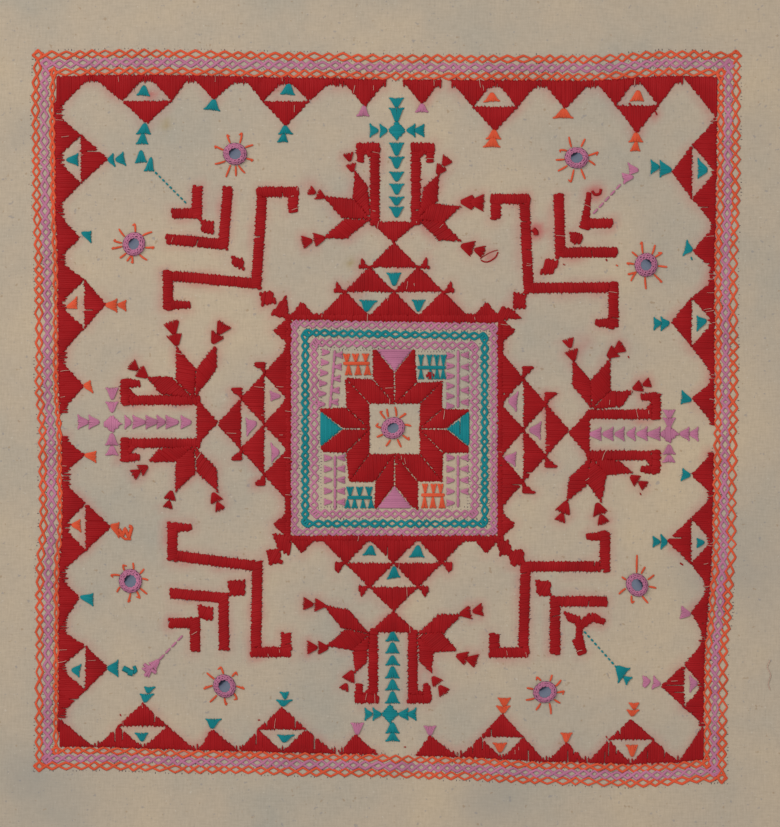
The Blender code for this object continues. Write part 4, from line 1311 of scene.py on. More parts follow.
def pyramid_rows(side, middle, foot, height, pitch, rng):
    """Three, two, then one triangle in rows, with windows between and a barb at each row's ends."""
    found = []
    angle = upright_angle(side)
    for row in range(3):
        base = foot + row * height
        for i in range(3 - row):
            centre = middle + (i - (2 - row) / 2) * pitch
            shape = [(centre - pitch / 2, base), (centre + pitch / 2, base), (centre, base + height + 0.3)]
            found += fill(on_side(side, shape), angle, rng)
        if row:
            for hand in (-1, 1):
                corner = middle + hand * (3 - row) / 2 * pitch
                barb = [(corner + hand * u, base + v) for u, v in BARBS[side]]
                found += fill(on_side(side, barb), angle, rng, lift=0.1, past=0.0)
    return found


def surround_rows(rng):
    """The red frame of the medallion with its pyramids and corner peaks."""
    _, _, left, right, top, bottom = MEDALLION_BANDS[0]
    rim = LACE_HALF + WORK_GAP
    left, right, top, bottom = left - rim, right + rim, top + rim, bottom - rim
    found = []
    edges = {"top": (top, left, right), "bottom": (-bottom, left, right)}
    edges.update({"left": (-left, bottom, top), "right": (right, bottom, top)})
    for side, middle, height, pitch in PYRAMIDS:
        edge, low, high = edges[side]
        spare = SURROUND_STRIP if side in ("top", "bottom") else 0.0
        drop = FRAME_DROP if side == "top" else 0.0
        inner, outer = edge - 0.3, edge + SURROUND_STRIP
        low_end, high_end = low - spare, high + spare
        strip = [(low_end, inner), (high_end, inner - drop), (high_end, outer), (low_end, outer)]
        found += fill(on_side(side, strip), upright_angle(side), rng, slack=0.35)
        foot = edge + SURROUND_STRIP - 0.9
        found += pyramid_rows(side, middle, foot, height, pitch, rng)
        for end, hand in ((low, 1), (high, -1)):
            centre = end + hand * CORNER_PEAK_HALF
            near, far = centre - CORNER_PEAK_HALF, centre + CORNER_PEAK_HALF
            shape = [(near, foot), (far, foot), (centre, foot + CORNER_PEAK_HEIGHT)]
            found += fill(on_side(side, shape), upright_angle(side), rng)
    return found


def star_point(side, along, out):
    """A point of the star's grid, moved where the work has drawn it out of true."""
    x, y = place(side, along, out)
    for corner_x, corner_y, drawn_x, drawn_y in STAR_DRAWN:
        if math.dist((x, y), (corner_x, corner_y)) < 0.01:
            return (STAR_X + x * STAR_SIDE + drawn_x, STAR_Y + y * STAR_SIDE + drawn_y)
    return (STAR_X + x * STAR_SIDE, STAR_Y + y * STAR_SIDE)


def shrink(shape, by):
    """The shape drawn in towards its middle, which leaves a seam of bare cloth round it."""
    mx = sum(x for x, _ in shape) / len(shape)
    my = sum(y for _, y in shape) / len(shape)
    found = []
    for x, y in shape:
        reach = math.hypot(x - mx, y - my)
        found.append((x + (mx - x) / reach * by, y + (my - y) / reach * by))
    return found


def star_rows(rng):
    """Sixteen slanting petals round a bare square."""
    found = []
    for side in ("top", "right", "bottom", "left"):
        reach = STAR_REACH[side]
        for hand in (-1, 1):
            leaning = ((hand, 1), (hand * 2, 2), (hand, 2), (0, 1))
            upright = ((0, 1), (hand, 2), (hand, reach), (hand * WEDGE_HALF, reach), (0, reach - WEDGE_DEPTH))
            angle = upright_angle(side)
            for outline, turn in ((leaning, angle), (upright, angle + 90)):
                shape = shrink([star_point(side, *point) for point in outline], 0.12)
                found += fill(shape, turn + rng.uniform(-3, 3), rng, slack=0.16, gaps=0.002, past=0.0)
    return found


def wedge_rows(side, rng):
    """The coloured wedge between two petals on one side of the star."""
    reach = STAR_REACH[side]
    outline = ((-WEDGE_HALF, reach), (WEDGE_HALF, reach), (0.0, reach - WEDGE_DEPTH + 0.05))
    shape = [star_point(side, *point) for point in outline]
    return fill(shape, upright_angle(side) + 90, rng, slack=0.15, past=0.0)


def leaf(root, tip, swell):
    """A four-sided leaf from its root to its tip, bellied unevenly on its two sides."""
    inner_at, inner_size, outer_at, outer_size = swell
    run_u, run_v = tip[0] - root[0], tip[1] - root[1]
    length = math.hypot(run_u, run_v)
    side_u, side_v = -run_v / length, run_u / length
    return [
        root,
        (root[0] + run_u * inner_at - side_u * inner_size, root[1] + run_v * inner_at - side_v * inner_size),
        tip,
        (root[0] + run_u * outer_at + side_u * outer_size, root[1] + run_v * outer_at + side_v * outer_size),
    ]


def palm_rows(rng):
    """Base triangle, two hooked bars and three leaves on each hand, for all four palms."""
    found = []
    half = PALM_BAR / 2
    for side, axis, foot, reach, low_bar, low_foot, high_bar, high_foot in PALMS:
        angle = upright_angle(side)
        end = reach - PALM_BAR

        def at(out, across):
            """A point given outward from the palm's tip and across its axis."""
            return place(side, axis + across, foot + out)

        base = [at(0, 0), at(PALM_BASE_HEIGHT, -PALM_BASE_HALF), at(PALM_BASE_HEIGHT, PALM_BASE_HALF)]
        found += fill(base, angle, rng)
        for hand, distance, foot_out in ((-1, low_bar, low_foot), (1, high_bar, high_foot)):
            middle = hand * distance
            beyond = hand * (distance + foot_out)
            slant = rng.uniform(4, 12) * hand
            upright = bar(at(PALM_BASE_HEIGHT - 1.2, middle), at(end, middle), PALM_BAR)
            found += fill(upright, angle + 90 + slant, rng)
            knee = at(reach - half, middle - hand * half)
            turn = bar(knee, at(reach - half, beyond + hand * PALM_KNEE), PALM_BAR)
            found += fill(turn, angle + slant, rng)
            toe = bar(at(end + 1.4, beyond), at(reach - PALM_FOOT_DOWN, beyond), *PALM_TOE)
            found += fill(toe, angle + 90 + slant, rng)
            inner = at(end - 1.6, middle + hand * half * 0.6)
            outer = at(end + 0.6, middle + hand * (half + PALM_KNEE))
            found += fill(bar(inner, outer, PALM_CORNER), angle + slant, rng, lift=0.05)
        for leaf_side, hand, *tips in LEAF_TIPS:
            if leaf_side != side:
                continue
            bellies = (OWN_BELLIES.get((side, hand), LEAF_BELLIES[0]), *LEAF_BELLIES[1:])
            for i, swell in enumerate(bellies):
                tip = between(LEAF_ROOT, tips[2 * i : 2 * i + 2], LEAF_STRETCH)
                outline = leaf(LEAF_ROOT, tip, swell)
                shape = shrink([at(out, hand * across) for out, across in outline], LEAF_SEAM)
                (root_x, root_y), (tip_x, tip_y) = shape[0], shape[2]
                turn = math.degrees(math.atan2(tip_y - root_y, tip_x - root_x)) + LEAF_TURN * hand
                found += fill(shape, turn + rng.uniform(-4, 4), rng, lift=0.05 + 0.07 * i, past=0.0)
    return found


def hook_rows(rng):
    """Twelve angled hooks, stitched across their bars."""
    found = []
    half = HOOK_BAR / 2

    def cross(start, end, angle, width=HOOK_BAR, end_width=None):
        """Stitches across one bar of a hook."""
        found.extend(fill(bar(start, end, width, end_width), angle, rng, slack=HOOK_SLACK, gaps=0.014))

    for x0, y0, x1, y1, near_width, far_width, slant in BENT_BARS:
        cross((x0, y0), (x1, y1), slant, near_width, far_width)
    for name, elbow_x, elbow_y, up_x, up_y, level_x, level_y, slant in HOOKS:
        rise = math.copysign(1, up_y - elbow_y)
        run = math.copysign(1, level_x - elbow_x)
        ends = HOOK_ENDS.get(name)
        upright_end = (up_x, up_y - rise * half) if ends else (up_x, up_y)
        level_end = (level_x - run * half, level_y) if ends else (level_x, level_y)
        cross((elbow_x, elbow_y - rise * half), upright_end, slant)
        cross((elbow_x + run * half * 0.4, elbow_y), level_end, 90 - slant)
        if ends:
            bar_length, leg, drop, toe = ends
            corner_x = up_x - run * bar_length
            knee = level_y - rise * drop
            toe_end = (level_x - run * toe, knee)
            cross((up_x + run * half, up_y), (corner_x - run * half, up_y), 90 + slant)
            cross((corner_x, up_y - rise * half * 0.4), (corner_x, up_y - rise * leg), slant)
            cross((level_x, level_y + rise * half), (level_x, knee - rise * half), slant)
            cross((level_x - run * half * 0.4, knee), toe_end, 90 + slant, HOOK_BAR, HOOK_BAR * 0.6)
    return found


def along_line(line):
    """How far along an open line each of its points lies."""
    return np.concatenate([[0], np.cumsum(np.linalg.norm(np.diff(line, axis=0), axis=1))])


def lace_paths(line, pitch, half, thick, sharpness, rng):
    """Two threads laced along an open line, crossing over and under so that eyes of cloth show."""
    line = np.array(line, float)
    reach = along_line(line)
    eyes = round(reach[-1] / pitch)
    turns = np.arange(eyes + 1)
    bends = np.cumsum([0] + [rng.uniform(*EYE_STRAY) for _ in range(eyes)])
    bends = bends / bends[-1] * reach[-1]
    eye = np.arange(eyes * LACE_STEPS + 1) / LACE_STEPS
    places = np.interp(eye, turns, bends)
    x, y = np.interp(places, reach, line[:, 0]), np.interp(places, reach, line[:, 1])
    dx, dy = np.gradient(x), np.gradient(y)
    length = np.maximum(np.hypot(dx, dy), 1e-9)
    paths = []
    for hand in (1, -1):
        sway = np.interp(eye, turns, [rng.uniform(*SWAY_STRAY) for _ in turns])
        wave = np.arcsin(np.sin(eye * math.pi) * 0.995) / (math.pi / 2)
        aside = hand * half * sway * np.sign(wave) * np.abs(wave) ** sharpness
        height = CLOTH_THICK + thick * 0.45 + LACE_CROSSING * hand * np.cos(eye * math.pi)
        radius = thick / 2 * np.interp(eye, turns, [rng.uniform(*THREAD_STRAY) for _ in turns])
        radius[[0, -1]] *= 0.5
        paths.append(list(zip(x - dy / length * aside, y + dx / length * aside, height, radius)))
    return paths


def border_sides(rank):
    """The four open centre lines of border band number rank, each a little longer than its side."""
    depth = {side: BAND_PITCH[side] * rank for side in BORDER_RUN}
    lines = []
    for side in BORDER_RUN:
        level = side in ("top", "bottom")
        ends = []
        for other in ("left", "right") if level else ("bottom", "top"):
            upright, flat = (other, side) if level else (side, other)
            corner = border_corner(upright, flat, depth[upright], depth[flat])
            ends.append(corner[0] if level else corner[1])
        steps = np.linspace(ends[0] - SIDE_SPARE, ends[1] + SIDE_SPARE, SIDE_STEPS)
        lines.append([place(side, s, border_line(side, s, depth[side])) for s in steps])
    return lines


def frame_sides(left, right, top, bottom):
    """The four sides of a rectangle, each run on a little so that neighbours cross."""
    past = FRAME_SPARE
    low_top = top - FRAME_DROP
    return [
        [(left - past, top), (right + past, low_top)],
        [(right, low_top + past), (right, bottom - past)],
        [(right + past, bottom), (left - past, bottom)],
        [(left, bottom - past), (left, top + past)],
    ]


def dense(path, step):
    """Points at even steps along an open line."""
    line = np.array(path, float)
    reach = along_line(line)
    places = np.linspace(0, reach[-1], max(8, round(reach[-1] / step)))
    return list(zip(np.interp(places, reach, line[:, 0]), np.interp(places, reach, line[:, 1])))


def beside(path, aside, step, share, rng):
    """Places of needle holes in a row on each side of a line, with the line's direction there."""
    found = []
    line = dense(path, step)
    for hand in (-1, 1):
        for (x0, y0), (x1, y1) in zip(line, line[1:]):
            length = math.hypot(x1 - x0, y1 - y0)
            if length > 1e-6 and rng.random() < share:
                away = hand * (aside + rng.uniform(-0.2, 0.2)) / length
                found.append((x0 - (y1 - y0) * away, y0 + (x1 - x0) * away, math.atan2(y1 - y0, x1 - x0)))
    return found


def stitch_ends(mesh, rng):
    """Places just past the ends of some of a piece's stitches, with the direction across them."""
    each = len(stitch_pattern()[0])
    found = []
    for first in range(0, len(mesh.vertices), each):
        if rng.random() < MARKED_ENDS:
            a, b = mesh.vertices[first].co, mesh.vertices[first + each - 1].co
            if rng.random() < 0.5:
                a, b = b, a
            angle = math.atan2(b.y - a.y, b.x - a.x)
            x, y = a.x / MM - math.cos(angle) * 0.15, a.y / MM - math.sin(angle) * 0.15
            found.append((x, y, angle + math.pi / 2))
    return found


def inside_frame(spot):
    """Whether a needle hole lies within the innermost band of the medallion."""
    _, _, left, right, top, bottom = MEDALLION_BANDS[2]
    return left < spot[0] < right and bottom < spot[1] < top


def lay_dots(name, places, rng):
    """Painted shade at the needle holes: small dark five-sided discs a hair above the cloth, drawn out."""
    disc = bmesh.new()
    bmesh.ops.create_cone(disc, cap_ends=True, segments=5, radius1=1.0, radius2=0.6, depth=1.0)
    disc.verts.index_update()
    points = np.array([vert.co[:] for vert in disc.verts])
    faces = [[vert.index for vert in face.verts] for face in disc.faces]
    disc.free()
    made = []
    for x, y, angle in places:
        long = points[:, 0] * rng.uniform(*HOLE_LENGTHS)
        wide = points[:, 1] * rng.uniform(*HOLE_WIDTHS)
        c, s = math.cos(angle), math.sin(angle)
        height = CLOTH_THICK + HOLE_RISE + points[:, 2] * HOLE_THICK
        made.append(np.stack([x + long * c - wide * s, y + long * s + wide * c, height], axis=1))
    every = [[i + n * len(points) for i in face] for n in range(len(made)) for face in faces]
    mesh = mesh_of(name, np.concatenate(made) * MM, every, {})
    return add_piece(name, mesh, material("needle_hole_shadow", needle_hole_material))


def lay_glasses(name, replaced):
    """The mirror glasses: roughly cut thin discs, each with its place inside it kept for the shading."""
    glasses = bmesh.new()
    within = glasses.verts.layers.float_vector.new("within")
    for number, (x, y) in enumerate(MIRRORS):
        rng = random.Random(GLASS_SEED + number)
        lean = math.radians(SHADE_LEANS[number])
        disc = bmesh.ops.create_circle(glasses, cap_ends=True, segments=22, radius=1.0)["verts"]
        for vert in disc:
            angle = math.atan2(vert.co.y, vert.co.x)
            size = GLASS_SEEN * (1 + 0.07 * math.sin(2 * angle + number) + rng.uniform(-0.02, 0.02))
            u, v = math.cos(angle) * size, math.sin(angle) * size
            along = u * math.cos(lean) - v * math.sin(lean)
            across = u * math.sin(lean) + v * math.cos(lean)
            vert[within] = (along / GLASS_SEEN, across / GLASS_SEEN, number / GLASS_SEEN)
            vert.co = ((x + u) * MM, (y + v) * MM, GLASS_BOTTOM * MM)
        face = disc[0].link_faces[0]
        grown = bmesh.ops.extrude_face_region(glasses, geom=[face], use_keep_orig=True)["geom"]
        top = [item for item in grown if isinstance(item, bmesh.types.BMVert)]
        bmesh.ops.translate(glasses, verts=top, vec=(0.0, 0.0, GLASS_THICK * MM))
    bmesh.ops.recalc_face_normals(glasses, faces=glasses.faces)
    mesh = bpy.data.meshes.new(name)
    glasses.to_mesh(mesh)
    glasses.free()
    return add_piece(name, mesh, material("silvered_glass", glass_material), replaced)


def ring_paths(x, y, rng):
    """Threads that hold one mirror: purls at the mouth and outside, and slanting stitches between."""
    squash, lean = rng.uniform(*RING_SQUASH), rng.uniform(0, math.pi)
    mouth = rng.uniform(*RING_MOUTH)

    def at(angle, radius):
        """A point of the slightly flattened ring."""
        stretch = 1 - (1 - squash) * math.cos(angle - lean) ** 2
        return x + math.cos(angle) * radius * stretch, y + math.sin(angle) * radius * stretch

    def loop(radius, height, thick, waves, wobble):
        """One thread all the way round."""
        path = []
        for i in range(RING_STEPS + 1):
            angle = i / RING_STEPS * math.tau
            swing = math.sin(angle * waves + radius) * wobble
            path.append((*at(angle, radius + swing), height + 0.12 * math.cos(angle * waves), thick))
        return path

    base = [loop(*row) for row in RING_DEPTHS]
    paths = [loop(mouth, RING_TOP, *MOUTH_PURL)] + [loop(*row) for row in RING_PURLS]
    for i in range(RING_STITCHES):
        angle = (i + rng.uniform(-0.3, 0.3)) / RING_STITCHES * math.tau
        slant = rng.uniform(*RING_SLANTS)
        thick = rng.uniform(*RING_THREADS)
        path = []
        for share, radius, height in (*RING_CLIMB, (1.0, mouth, RING_TOP)):
            spot = at(angle + slant * share, radius + rng.uniform(-0.1, 0.1))
            path.append((*spot, height, thick))
        paths.append(path)
    return base, paths


def ray_paths(x, y, tips, rng):
    """Orange rays: short bent stitches out from the mirror's ring, most with a hooked outer end."""
    paths = []
    for tx, ty in photo_points(tips):
        angle = math.atan2(ty - y, tx - x)
        reach = math.hypot(tx - x, ty - y)
        bend = rng.uniform(-0.4, 0.4)
        path = []
        for share in (0.0, 0.3, 0.6, 0.85, 1.0):
            radius = RAY_START + (reach - RAY_START) * share
            swing = angle - bend * (1 - share) * 0.5
            thick = 0.36 + 0.12 * math.sin(share * math.pi)
            lift = CLOTH_THICK + 0.4 - (0.3 if share in (0.0, 1.0) else 0)
            path.append((x + math.cos(swing) * radius, y + math.sin(swing) * radius, lift, thick))
        paths.append(path)
        if rng.random() < HOOKED_RAYS:
            turn = angle + rng.choice((-1, 1)) * rng.uniform(1.9, 2.6)
            length = rng.uniform(1.0, 1.8)
            last = (tx + math.cos(turn) * length, ty + math.sin(turn) * length, CLOTH_THICK + 0.15, 0.3)
            paths.append([(tx, ty, CLOTH_THICK + 0.3, 0.45), last])
    return paths


def triangle_rows(look, rng):
    """The small lone triangles, ladder rungs and comb teeth of one colour."""
    found = []
    for row_look, *corners in TRIANGLES:
        if row_look == look:
            found += fan(*photo_points(corners), rng)
    if look == "mauve":
        half = LADDER_HALF
        for x0, y0, x1, y1, *columns in LADDERS:
            for (column, first, last, count), hand in zip((columns[:4], columns[4:]), (-1, 1)):
                for i in range(count):
                    y = first + (last - first) * i / (count - 1)
                    x = column + (x1 - x0) * (y - y0) / (y1 - y0)
                    tip, base = x - hand * half, x + hand * half
                    corners = (tip, y, base, y - half * 0.9, base, y + half * 0.9)
                    found += fan(*photo_points(corners), rng)
    for comb_look, line, _, _, top, upper, bottom, lower in COMBS:
        if comb_look != look:
            continue
        for outer, middles in ((top, upper), (bottom, lower)):
            half = 0.36 * (middles[-1] - middles[0]) / (len(middles) - 1)
            inner = line + math.copysign(1, outer - line) * 2.0
            for x in middles:
                found += fan(*photo_points((x, inner, x - half, outer, x + half, outer)), rng)
    return found


def stem_rows(stem, rng):
    """One stem of small triangles with its lozenge and cross."""
    level = stem["side"] in ("left", "right")
    line, half = stem["line"], stem["half"]
    found = []

    def spot(along, across):
        """A point given in photograph pixels, first along the stem and then across it."""
        return from_photo(along, across) if level else from_photo(across, along)

    for point, base in pairs(stem["stem"]):
        found += fan(spot(point, line), spot(base, line - half), spot(base, line + half), rng)
    heart_x, heart_y = stem["heart"]
    corners = ((0, -1), (1, 0), (0, 1), (-1, 0))
    heart = [from_photo(heart_x + HEART_HALF * u, heart_y + HEART_HALF * v) for u, v in corners]
    found += fill(heart, 90 if level else 0, rng, lift=0.08, past=0.0)
    middle = heart_x if level else heart_y
    wide = half * 0.9
    for point, base in pairs(stem["arms"]):
        found += fan(spot(middle, point), spot(middle - wide, base), spot(middle + wide, base), rng)
    return found


def bow_rows(rng):
    """Pairs of small red triangles on the palms' leaf tips, and the lozenges between the hooks."""
    found = []
    for inner_x, inner_y, outer_x, outer_y, *sizes in LEAF_BOWS:
        inner, outer = Vector((inner_x, inner_y)), Vector((outer_x, outer_y))
        ahead = (outer - inner).normalized()
        across = Vector((-ahead.y, ahead.x))
        for centre, size in zip((inner, outer), sizes):
            apex = centre - ahead * size * 0.42
            first = centre + ahead * size * 0.36 + across * size * 0.62
            last = centre + ahead * size * 0.36 - across * size * 0.62
            found += fan(*photo_points((*apex, *first, *last)), rng, bulge=BOW_BULGE)
    for corners in LOZENGES:
        found += fill(photo_points(corners), 70 + rng.uniform(-15, 15), rng, slack=0.35)
    return found


def hair_paths(rows, rng):
    """Thin pale fibres that lie over the floss, nearly along its stitches."""
    paths = []
    for x0, y0, x1, y1, *_ in rows:
        length = math.hypot(x1 - x0, y1 - y0)
        angle = math.atan2(y1 - y0, x1 - x0) + rng.uniform(-0.2, 0.2)
        reach = min(length, rng.uniform(1.2, 4.5))
        first = rng.uniform(0, length - reach) / length
        x, y = x0 + (x1 - x0) * first, y0 + (y1 - y0) * first
        bend = rng.uniform(-0.15, 0.15)
        path = []
        for share in (0.0, 0.5, 1.0):
            aside = bend * math.sin(share * math.pi)
            px = x + math.cos(angle) * reach * share - math.sin(angle) * aside
            py = y + math.sin(angle) * reach * share + math.cos(angle) * aside
            path.append((px, py, CLOTH_THICK + 0.95, rng.uniform(0.06, 0.12)))
        paths.append(path)
    return paths


def loose_path(radius, *spots):
    """A loose end of thread through points given in photograph pixels."""
    return [(x, y, CLOTH_THICK + 0.35, radius) for x, y in dense(photo_points(spots), 0.9)]


def line_rows(look, rng):
    """Running stitches and the bars of the ladders and combs in one colour."""
    found = []

    def lay(ends, first, last, width, lift):
        """One stitch over a stretch of a line given in photograph pixels."""
        start, end = [from_photo(*between(ends[:2], ends[2:], share)) for share in (first, last)]
        found.append((*start, *end, width, lift, 1.0))

    for row_look, *ends, dash, gap in RUNNING:
        if row_look == look:
            length = math.dist(ends[:2], ends[2:])
            for i in range(int(length / (dash + gap))):
                first = i * (dash + gap)
                lay(ends, first / length, (first + dash) / length, rng.uniform(0.85, 1.05), 0.0)
    if look == "mauve":
        for row in LADDERS:
            for i in range(LADDER_STITCHES):
                lay(row[:4], i / LADDER_STITCHES, (i + 1.08) / LADDER_STITCHES, 1.3, 0.1)
    for comb_look, line, x0, x1, *_ in COMBS:
        if comb_look == look:
            for offset in (-0.7, 0.7):
                lay((x0, line + offset, x1, line + offset), 0.0, 1.0, 1.1, 0.1)
    return found


def make_cloth(floss_ends):
    """The ground cloth: a fine closed sheet with a thicker hem, rippled margins and small puckers."""
    step = bpy.context.scene.rumal_sizes.cloth_grid / MM
    columns, rows = round(2 * CLOTH_HALF_WIDTH / step), round(2 * CLOTH_HALF_LENGTH / step)
    sheet = bmesh.new()
    bmesh.ops.create_grid(sheet, x_segments=columns, y_segments=rows, size=1.0)
    tops = []
    for vert in sheet.verts:
        x, y = vert.co.x * CLOTH_HALF_WIDTH, vert.co.y * CLOTH_HALF_LENGTH
        near_rim = min(CLOTH_HALF_WIDTH - abs(x), CLOTH_HALF_LENGTH - abs(y))
        ripple = noise.noise(Vector((x / 26, y / 26, 3.0))) + 0.5 * noise.noise(Vector((x / 9, y / 9, 8.0)))
        out = max(margin_share(abs(x), 120, CLOTH_HALF_WIDTH), margin_share(abs(y), 130, CLOTH_HALF_LENGTH))
        lift = margin_lift(x, y)
        thick = HEM_THICK if 1.0 < near_rim < HEM_WIDTH else CLOTH_THICK
        pull_x = edge_draw(y) * margin_share(abs(x), FLAT_HALF_WIDTH, CLOTH_HALF_WIDTH)
        pull_y = edge_draw(x + 90) * margin_share(abs(y), FLAT_HALF_LENGTH, CLOTH_HALF_LENGTH)
        vert.co = ((x - math.copysign(pull_x, x)) * MM, (y - math.copysign(pull_y, y)) * MM, lift * MM)
        tops.append((lift + thick + ripple * (0.1 + 0.3 * out * out)) * MM)
    heights = {(round(v.co.x, 7), round(v.co.y, 7)): top for v, top in zip(sheet.verts, tops)}
    raised = bmesh.ops.extrude_face_region(sheet, geom=sheet.faces[:], use_keep_orig=True)["geom"]
    for item in raised:
        if isinstance(item, bmesh.types.BMVert):
            item.co.z = heights[round(item.co.x, 7), round(item.co.y, 7)]
    bmesh.ops.recalc_face_normals(sheet, faces=sheet.faces)
    mesh = bpy.data.meshes.new("cotton_cloth")
    sheet.to_mesh(mesh)
    sheet.free()
    mesh.shade_smooth()
    places = point_places(mesh)[:, :2]
    # Pink and tan stains and grey patches of painted shade, each a soft round spot kept for every point
    marks = np.zeros((len(places), 3))
    for kind, x, y, radius, strength in STAINS_AND_SHADE:
        near = np.linalg.norm(places - np.array(from_photo(x, y)), axis=1) / (radius * PIXEL)
        marks[:, STAIN_AND_SHADE_KINDS.index(kind)] += strength * np.exp(-(near**2))
    tree = kdtree.KDTree(len(floss_ends))
    for i, (x, y) in enumerate(floss_ends):
        tree.insert((x, y, 0), i)
    tree.balance()
    for i, (x, y) in enumerate(places):
        gap = tree.find((x, y, 0))[2]
        if gap < BLEED_FURTHEST:
            patchy = 0.5 + noise.noise(Vector((x / 11, y / 11, 20.0)))
            marks[i, 0] += max(0.0, patchy) * BLEED_STRENGTH * math.exp(-gap / BLEED_REACH)
    keep_values(mesh, "marks", marks.clip(0, 0.9))
    cotton = material("handwoven_cotton", cotton_material)
    return add_piece("cotton_cloth", mesh, cotton, ["ground_cloth"])


class RUMAL_OT_red_satin(bpy.types.Operator):
    """Sew the red satin stitch: zigzag, medallion surround, star, palms, hooks and leaf bows"""

    bl_idname = "rumal.red_satin"
    bl_label = "Red satin stitch"

    def execute(self, context):
        nodes = list(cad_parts)
        pieces = (
            ("satin_zigzag", zigzag_rows, [n for n in nodes if n.startswith("zigzag")]),
            ("satin_surround", surround_rows, ["medallion_surround"]),
            ("satin_star", star_rows, ["star"]),
            ("satin_palms", palm_rows, [n for n in nodes if n.startswith("palm")]),
            ("satin_hooks", hook_rows, [n for n in nodes if n.startswith("hook")]),
            ("satin_bows", bow_rows, []),
        )
        hairs = []
        for seed, (name, rows, replaced) in enumerate(pieces, start=11):
            rng = random.Random(seed)
            laid = rows(rng)
            if replaced:
                hairs += hair_paths(rng.sample(laid, len(laid) // 60), rng)
            lay_stitches(name, laid, "red", replaced, seed)
        hairs += [loose_path(*row) for row in PALE_ENDS]
        lay_threads("pale_fibres", hairs, "pale", (), 17)
        lay_threads("loose_red_ends", [loose_path(*row) for row in LOOSE_ENDS], "red", (), 18, 0.6)
        return {"FINISHED"}


class RUMAL_OT_coloured_satin(bpy.types.Operator):
    """Sew the star's wedges, the stems and the small triangles, ladders, combs and running stitches"""

    bl_idname = "rumal.coloured_satin"
    bl_label = "Coloured satin stitch"

    def execute(self, context):
        wedge_looks = (("mauve", ("top", "bottom")), ("teal", ("left", "right")))
        for seed, (look, sides) in enumerate(wedge_looks, start=31):
            rng = random.Random(seed)
            rows = [row for side in sides for row in wedge_rows(side, rng)]
            wedges = ["star_wedge_" + side for side in sides]
            lay_stitches("satin_wedges_" + look, rows, look, wedges, seed)
        for seed, look in enumerate(("teal", "mauve"), start=41):
            rng = random.Random(seed)
            stems = [stem for stem in STEMS if stem["look"] == look]
            rows = [row for stem in stems for row in stem_rows(stem, rng)]
            replaced = ["stem_" + stem["side"] for stem in stems]
            lay_stitches("satin_stems_" + look, rows, look, replaced, seed)
        slots = {"teal": "stem_top", "mauve": "stem_left", "orange": "band_outer"}
        for seed, look in enumerate(slots, start=57):
            paths = [loose_path(*row) for row_look, *row in BUNCHES if row_look == look]
            lay_threads("bunched_" + look, paths, look, (), seed, 0.7)
        for seed, look in enumerate(slots, start=51):
            rng = random.Random(seed)
            rows = triangle_rows(look, rng) + line_rows(look, rng)
            lay_stitches("small_motifs_" + look, rows, look, (), seed)
        return {"FINISHED"}


class RUMAL_OT_lace(bpy.types.Operator):
    """Lace the bands of the border and of the medallion, and lay dark discs of painted shade at their needle
    holes
    """

    bl_idname = "rumal.lace"
    bl_label = "Laced bands"

    def execute(self, context):
        share = context.scene.rumal_sizes.lace_thread_share
        holes = []
        rng = random.Random(61)
        bands = []
        for name, look, rank, *lace in BORDER_BANDS:
            bands.append((name, look, border_sides(rank), BORDER_HOLES, lace))
        for name, look, *sides in MEDALLION_BANDS:
            bands.append((name, look, frame_sides(*sides), MEDALLION_HOLES, MEDALLION_LACE[name]))
        for seed, (name, look, sides, (step, chance), lace) in enumerate(bands, start=61):
            pitch, half, thick, sharpness = lace
            paths = []
            for side, line in zip(BORDER_RUN, sides):
                width = half * PULLED_LACE.get((name, side), 1.0)
                paths += lace_paths(line, pitch, width, thick * share, sharpness, rng)
                holes += beside(line, width + 0.45, step, chance, rng)
                if name == "medallion_band_inner":
                    ticks = beside(line, TICKS_ASIDE, TICKS_STEP, 0.9, rng)
                    holes += [spot for spot in ticks if inside_frame(spot)]
            lay_threads("lace_" + name, paths, look, [name], seed, LACE_FLATNESS)
        for name in SATIN_PIECES:
            holes += stitch_ends(bpy.data.objects[name].data, rng)
        # Dark discs of painted shade at the needle holes
        lay_dots("needle_holes", holes, rng)
        return {"FINISHED"}


class RUMAL_OT_mirrors(bpy.types.Operator):
    """Silver the mirror glasses, and sew their rings and rays"""

    bl_idname = "rumal.mirrors"
    bl_label = "Mirrors"

    def execute(self, context):
        depths, rings, rays = [], [], []
        for number, ((x, y), tips) in enumerate(zip(MIRRORS, RAYS), start=1):
            rng = random.Random(RING_SEED + number)
            base, threads = ring_paths(x, y, rng)
            depths += base
            rings += threads
            rays += ray_paths(x, y, tips, rng)
        numbers = range(1, len(MIRRORS) + 1)
        lay_glasses("mirror_glasses", [f"mirror_{number}" for number in numbers])
        replaced = [f"mirror_ring_{number}" for number in numbers]
        lay_threads("mirror_rings", rings, "mauve", replaced, 91)
        # Loops under the ring in darker mauve: painted shade deep in the ring
        lay_threads("mirror_ring_depths", depths, "plum", (), 93)
        lay_threads("mirror_rays", rays, "orange", (), 92, 0.8)
        return {"FINISHED"}


class RUMAL_OT_cloth(bpy.types.Operator):
    """Lay the cotton ground cloth under the work"""

    bl_idname = "rumal.cloth"
    bl_label = "Ground cloth"

    def execute(self, context):
        ends = []
        for name in ("satin_zigzag", "satin_surround", "satin_palms", "satin_hooks", "satin_bows"):
            verts = bpy.data.objects[name].data.vertices
            ends += [(v.co.x / MM, v.co.y / MM) for v in verts[:][:: STITCH_RINGS * 3]]
        cloth = make_cloth(ends)
        return {"FINISHED"}


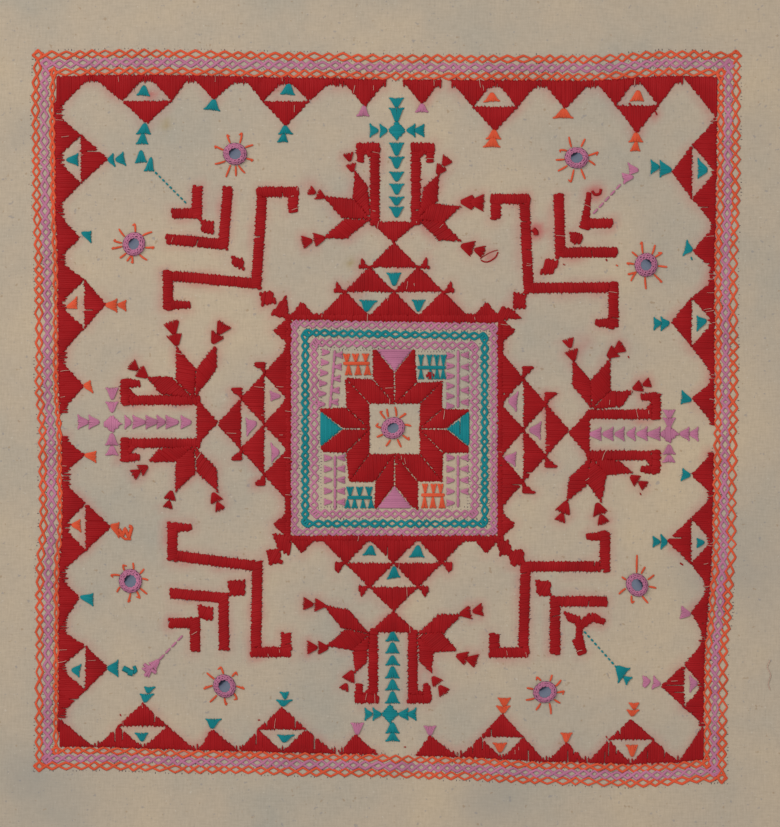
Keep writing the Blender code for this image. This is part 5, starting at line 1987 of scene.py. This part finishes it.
class RUMAL_OT_stage(bpy.types.Operator):
    """Set the pale floor, the soft light from the upper left and the camera straight above"""

    bl_idname = "rumal.stage"
    bl_label = "Floor, light and camera"

    def execute(self, context):
        scene = context.scene
        scene.view_settings.view_transform = "Standard"
        floor = bmesh.new()
        bmesh.ops.create_grid(floor, x_segments=1, y_segments=1, size=FLOOR_HALF)
        mesh = bpy.data.meshes.new("floor")
        floor.to_mesh(mesh)
        floor.free()
        mesh.materials.append(material("pale_paper", floor_material))
        ground = bpy.data.objects.new("floor", mesh)
        scene.collection.objects.link(ground)

        world = bpy.data.worlds.new("soft_room")
        world.use_nodes = True
        sky = world.node_tree.nodes["Background"]
        sky.inputs["Color"].default_value = (*linear(SKY_CODE), 1.0)
        sky.inputs["Strength"].default_value = SKY_STRENGTH
        scene.world = world
        for name, spot, size, power in LAMPS:
            lamp = bpy.data.lights.new(name, "AREA")
            lamp.size = size
            lamp.energy = power
            light = bpy.data.objects.new(name, lamp)
            light.location = spot
            light.rotation_mode = "QUATERNION"
            light.rotation_quaternion = (-Vector(spot)).to_track_quat("-Z", "Y")
            scene.collection.objects.link(light)

        lens = bpy.data.cameras.new("overhead")
        camera = bpy.data.objects.new("overhead", lens)
        lens.sensor_width = SENSOR_WIDTH
        lens.lens = SENSOR_WIDTH * CAMERA_HEIGHT / (PHOTO_HIGH * PIXEL * MM)
        camera.location = (0.0, 0.0, CAMERA_HEIGHT + CLOTH_THICK * MM)
        scene.collection.objects.link(camera)
        scene.camera = camera
        return {"FINISHED"}


class RUMAL_PT_panel(bpy.types.Panel):
    """Steps that sew the rumal"""

    bl_idname = "RUMAL_PT_panel"
    bl_label = "Rumal"
    bl_space_type = "VIEW_3D"
    bl_region_type = "UI"
    bl_category = "Rumal"

    def draw(self, context):
        for operator in OPERATORS:
            self.layout.operator(operator.bl_idname)
        for group in (context.scene.rumal_sizes, context.scene.rumal_colours):
            for name in group.__annotations__:
                self.layout.prop(group, name)


OPERATORS = (
    RUMAL_OT_red_satin,
    RUMAL_OT_coloured_satin,
    RUMAL_OT_lace,
    RUMAL_OT_mirrors,
    RUMAL_OT_cloth,
    RUMAL_OT_stage,
)
CLASSES = (RumalSizes, RumalColours, *OPERATORS, RUMAL_PT_panel)


def register():
    """Makes the steps, sizes and colours known."""
    for made in CLASSES:
        bpy.utils.register_class(made)
    bpy.types.Scene.rumal_sizes = bpy.props.PointerProperty(type=RumalSizes)
    bpy.types.Scene.rumal_colours = bpy.props.PointerProperty(type=RumalColours)


def unregister():
    """Takes them out again."""
    del bpy.types.Scene.rumal_sizes
    del bpy.types.Scene.rumal_colours
    for made in reversed(CLASSES):
        bpy.utils.unregister_class(made)


def main():
    """Sews the rumal round its solids."""
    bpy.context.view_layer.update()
    register()
    bpy.ops.rumal.red_satin()
    bpy.ops.rumal.coloured_satin()
    bpy.ops.rumal.lace()
    bpy.ops.rumal.mirrors()
    bpy.ops.rumal.cloth()
    bpy.ops.rumal.stage()


if __name__ == "__main__":
    main()
